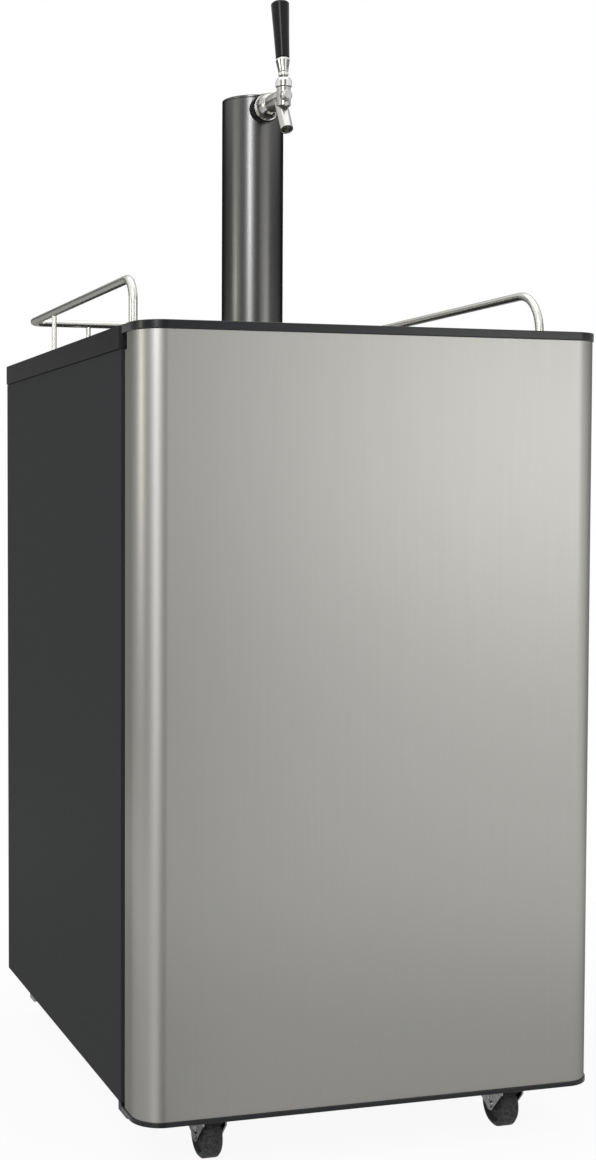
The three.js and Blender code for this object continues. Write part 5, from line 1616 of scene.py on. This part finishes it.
@dataclass
class Caster(SubAssembly):
    """One swivel caster at a corner. Those in front have a brake."""

    corner: Corner
    sheet_edge: float = 0.5 * MM
    fork_edge: float = 0.4 * MM
    head: float = 1.5 * MM  # how far the axle's heads stand out of the fork's plates
    rib: float = 1.9 * MM
    rib_sink: float = 0.6 * MM
    rib_foot: Pair = (2.2 * MM, 5 * MM)  # behind or ahead of the axle, and above it
    rib_head: Pair = (8 * MM, 5 * MM)  # behind or ahead of the axle, and below the fork's top
    tread_half: float = 10.5 * MM
    bore: float = 3.4 * MM
    hub: float = 7 * MM
    web: float = 17.5 * MM
    web_recess: float = 4 * MM
    slope: float = 1.5 * MM
    shoulder: float = 3 * MM
    wheel_edge: float = 1.6 * MM

    @property
    def place(self) -> str:
        """Gives the corner's name, which ends the names of its nodes and bodies."""
        return self.corner.value

    def build(self) -> None:
        """Builds the plate, fork, wheel and brake."""
        self.soften("caster_plate_" + self.place, ZINC, self.sheet_edge)
        self.fork()
        if self.corner in (Corner.FRONT_LEFT, Corner.FRONT_RIGHT):
            brake = "brake_" + self.place
            self.soften("caster_" + brake, BLACK_PLASTIC, self.sheet_edge, 3, brake)
        self.wheel()

    def fork(self) -> None:
        """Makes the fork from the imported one, with two pressed ribs down each side plate."""
        node = "caster_fork_" + self.place
        top = heights(node)[1]
        axle = Vector(middle("caster_wheel_" + self.place))
        form = Form("dressed_" + node).copy(node).soften(self.fork_edge)
        plate = half_width(node) - self.head - self.rib_sink
        for side in (-1, 1):
            for lean in (-1, 1):
                foot = (axle.x + side * plate, axle.y + lean * self.rib_foot[0], axle.z + self.rib_foot[1])
                head = (foot[0], axle.y + lean * self.rib_head[0], top - self.rib_head[1])
                form.mesh(TUBES.tube([foot, head], [], self.rib, FORK_CHROME, 12, 4))
        self.hand_over(form, [FORK_CHROME], [node], "fork_" + self.place)

    def wheel(self) -> None:
        """Makes the wheel: a rounded tread, a recessed web and a hub."""
        node, name = "caster_wheel_" + self.place, "wheel_" + self.place
        centre = middle(node)
        radius, end, half = centre[2], -half_width(node), self.tread_half
        recess = self.web_recess - half
        side = [(self.bore, end), (self.hub, end), (self.hub + self.slope, recess), (self.web, recess),
                (self.web + self.slope, -half), (radius - self.shoulder, -half),
                (radius, self.shoulder - half)]
        tread = side + [(point, -depth) for point, depth in reversed(side)]
        self.turn(name, node, RUBBER, tread, Axis.X.place(centre), self.wheel_edge, 5, body=name)


@dataclass
class Studio:
    """Floor, soft lights, sheets that only reflections show, and the camera at the photograph's place."""

    camera_place: Triple = (-0.7553, -1.9433, 0.6887)
    yaw: float = 0.2745
    pitch: float = 0.0432
    focal_pixels: float = 1701.5
    image_height: float = 1160
    sensor: float = 36
    shift: float = 0.1638
    clip: Pair = (0.05, 60)
    fill: float = 0.62
    floor_half: float = 14
    floor_tone: float = 0.93
    floor_roughness: float = 0.9
    near_floor: float = 0.3
    far_floor: float = 1.1
    near_white: float = 0.92  # how much of the floor's white shows under the object
    card_distance: float = 2.0
    card_steps: int = 24
    floor_card_radius: float = 1.15
    floor_card_sides: int = 48
    floor_card_tone: float = 0.6
    floor_card_height: float = 0.001
    sector_steps: int = 8
    sector_height: float = 0.002
    corner_inset: float = 30 * MM  # from the door's sides to the middle of its round corner

    def build(self) -> None:
        """Builds the studio."""
        self.world()
        self.floor()
        self.camera()
        self.lamp("key", (-1.8, -3.0, 2.35), (0, 0, 1.2), (0.8, 2.0), 45, (0.95, 0.95, 1.0))
        self.lamp("low_key", (-1.8, -3.0, 0.65), (0, 0, 0.7), (0.8, 1.1), 5)
        self.lamp("left", (-3.5, -0.15, 1.1), (0, 0, 0.9), (0.7, 0.8), 7, (1.0, 0.98, 0.84))
        self.lamp("right", (1.88, -2.9, 0.95), (0, 0, 0.85), (1.2, 0.95), 6.7)
        self.lamp("top", (0, 0.2, 3.4), (0, 0, 0.8), (3, 3), 26)
        self.card("left_card", 46, 70, (0, 1.9), 0.35)
        self.card("low_left_card", 70, 101, (0, 0.4), 0.5)
        self.card("middle_card", -9, 14, (0, 1.9), 0.15)
        self.card("right_card", 285, 316, (1.05, 1.6), 0.2)
        self.card("back_card", 101, 285, (1.12, 1.6), 0.18)
        self.floor_sector("dark_sector", -8, 14, 0.15)
        self.floor_sector("bright_sector", 20, 44, 1)
        self.card("low_back_card", 101, 285, (0, 1.12), 0.55)
        self.floor_card()
        bpy.context.scene.view_settings.view_transform = "Standard"

    def world(self) -> None:
        """Makes a world that shows white and lights softly."""
        made = bpy.data.worlds.new("soft_white")
        bpy.context.scene.world = made
        made.use_nodes = True
        graph = Graph(made.node_tree)
        made.node_tree.nodes.clear()
        rays = graph.node("ShaderNodeLightPath").outputs
        seen = graph.math("MAXIMUM", rays["Is Camera Ray"], rays["Is Transmission Ray"])
        strength = graph.node("ShaderNodeMapRange", {"To Min": self.fill, "To Max": 1})
        sky = graph.node("ShaderNodeBackground", {"Color": (1, 1, 1, 1)})
        graph.feed(graph.math("MAXIMUM", seen, rays["Is Glossy Ray"]), strength.inputs["Value"])
        graph.join((strength, "Result", sky, "Strength"),
                   (sky, 0, graph.node("ShaderNodeOutputWorld"), "Surface"))

    def floor(self) -> None:
        """Makes a pale floor that keeps the shadow near the object and turns white farther out."""
        half = self.floor_half
        mesh = bpy.data.meshes.new("floor")
        mesh.from_pydata([(-half, -half, 0), (half, -half, 0), (half, half, 0), (-half, half, 0)], [],
                         [(0, 1, 2, 3)])
        made, graph = new_material("pale_floor")
        shader = made.node_tree.nodes["Principled BSDF"]
        shader.inputs["Base Color"].default_value = (*(self.floor_tone,) * 3, 1)
        shader.inputs["Roughness"].default_value = self.floor_roughness
        shader.inputs["Specular IOR Level"].default_value = 0
        white = graph.node("ShaderNodeEmission")
        place = graph.node("ShaderNodeTexCoord")
        distance = graph.node("ShaderNodeVectorMath", operation="LENGTH")
        limits = {"From Min": self.near_floor, "From Max": self.far_floor, "To Min": self.near_white}
        fade = graph.node("ShaderNodeMapRange", limits, interpolation_type="SMOOTHSTEP")
        mix = graph.node("ShaderNodeMixShader")
        graph.join((place, "Object", distance, 0), (distance, "Value", fade, "Value"),
                   (fade, "Result", mix, 0), (shader, 0, mix, 1), (white, 0, mix, 2),
                   (mix, 0, made.node_tree.nodes["Material Output"], "Surface"))
        mesh.materials.append(made)
        placed("floor", mesh)

    def lamp(self, name: str, place: Triple, target: Triple, size: Pair, power: float,
             colour: Triple = (1, 1, 1)) -> None:
        """Adds a soft rectangular lamp.

        Args:
            name: The lamp's name.
            place: Where it hangs.
            target: What it points at.
            size: Its width and height.
            power: Its power in watts.
            colour: Its colour.
        """
        data = bpy.data.lights.new(name, "AREA")
        data.color = colour
        data.shape = "RECTANGLE"
        data.size, data.size_y = size
        data.energy = power
        lamp = placed(name, data)
        lamp.location = place
        lamp.rotation_euler = (Vector(target) - Vector(place)).to_track_quat("-Z", "Y").to_euler()

    def arc(self, start: float, end: float, steps: int, origin: Pair = (0, 0)) -> list[Pair]:
        """Gives points at the cards' distance, from one direction to another.

        Args:
            start: Degrees from straight ahead of the door, to the left, where it starts.
            end: Degrees where it ends.
            steps: How many pieces it has.
            origin: The middle that the distance is measured from.

        Returns:
            The points.
        """
        turns = [math.radians(start + (end - start) * step / steps) for step in range(steps + 1)]
        return [(origin[0] - self.card_distance * math.sin(turn),
                 origin[1] - self.card_distance * math.cos(turn)) for turn in turns]

    def card(self, name: str, start: float, end: float, edges: Pair, tone: float) -> None:
        """Adds an upright curved card that is seen in reflections only.

        Args:
            name: The card's name.
            start: Degrees from straight ahead of the door, to the left, where it starts.
            end: Degrees where it ends.
            edges: The heights of its lower and upper edge.
            tone: How bright it is.
        """
        points = [(*point, z) for point in self.arc(start, end, self.card_steps) for z in edges]
        faces = [(2 * i, 2 * i + 2, 2 * i + 3, 2 * i + 1) for i in range(self.card_steps)]
        self.reflect(name, points, faces, tone)

    def floor_card(self) -> None:
        """Adds a round card on the floor that is seen in reflections only."""
        radius, sides = self.floor_card_radius, self.floor_card_sides
        turns = [FULL_TURN * index / sides for index in range(sides)]
        rim = [(radius * math.cos(turn), radius * math.sin(turn)) for turn in turns]
        points = [(*point, self.floor_card_height) for point in rim]
        self.reflect("floor_card", points, [tuple(range(sides))], self.floor_card_tone)

    def floor_sector(self, name: str, start: float, end: float, tone: float) -> None:
        """Adds a sector of the floor in front of the door's left corner, seen in reflections only.

        Args:
            name: The sheet's name.
            start: Where it starts, in degrees to the left of straight ahead.
            end: Where it ends.
            tone: How bright it is.
        """
        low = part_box("door_skin")[0]
        origin = (low.x + self.corner_inset, low.y + self.corner_inset)
        rim = [origin, *self.arc(start, end, self.sector_steps, origin)]
        self.reflect(name, [(*point, self.sector_height) for point in rim], [tuple(range(len(rim)))], tone)

    def reflect(self, name: str, points: list[Triple], faces: list[tuple[int, ...]], tone: float) -> None:
        """Adds a glowing sheet that only glossy rays meet.

        Args:
            name: The sheet's name.
            points: Its corners.
            faces: Its faces.
            tone: How bright it is.
        """
        mesh = bpy.data.meshes.new(name)
        mesh.from_pydata(points, [], faces)
        made, graph = new_material(name)
        glow = graph.node("ShaderNodeEmission", {"Color": (tone, tone, tone, 1)})
        graph.join((glow, 0, made.node_tree.nodes["Material Output"], "Surface"))
        mesh.materials.append(made)
        sheet = placed(name, mesh)
        sheet.visible_camera = sheet.visible_diffuse = sheet.visible_shadow = False

    def camera(self) -> None:
        """Adds the camera at the photograph's viewing angle."""
        data = bpy.data.cameras.new("photo_camera")
        data.sensor_width = self.sensor
        data.lens = self.focal_pixels / self.image_height * self.sensor
        data.shift_x = self.shift
        data.clip_start, data.clip_end = self.clip
        camera = placed("photo_camera", data)
        camera.location = self.camera_place
        flat = math.cos(self.pitch)
        forward = Vector((math.sin(self.yaw) * flat, math.cos(self.yaw) * flat, -math.sin(self.pitch)))
        camera.rotation_euler = forward.to_track_quat("-Z", "Y").to_euler()
        bpy.context.scene.camera = camera


def main() -> None:
    """Builds the studio and every sub-assembly in order."""
    logging.basicConfig(level=logging.INFO, format="%(name)s %(message)s")
    Studio().build()
    parts = [Cabinet(), Inside(), GuardRail(), Door(), Hinges(), Tower(), Tap(), DripTray(), Machine()]
    for part in [*parts, *(Caster(corner) for corner in Corner)]:
        LOG.info("building %s", type(part).__name__)
        part.build()


if __name__ == "__main__":
    main()
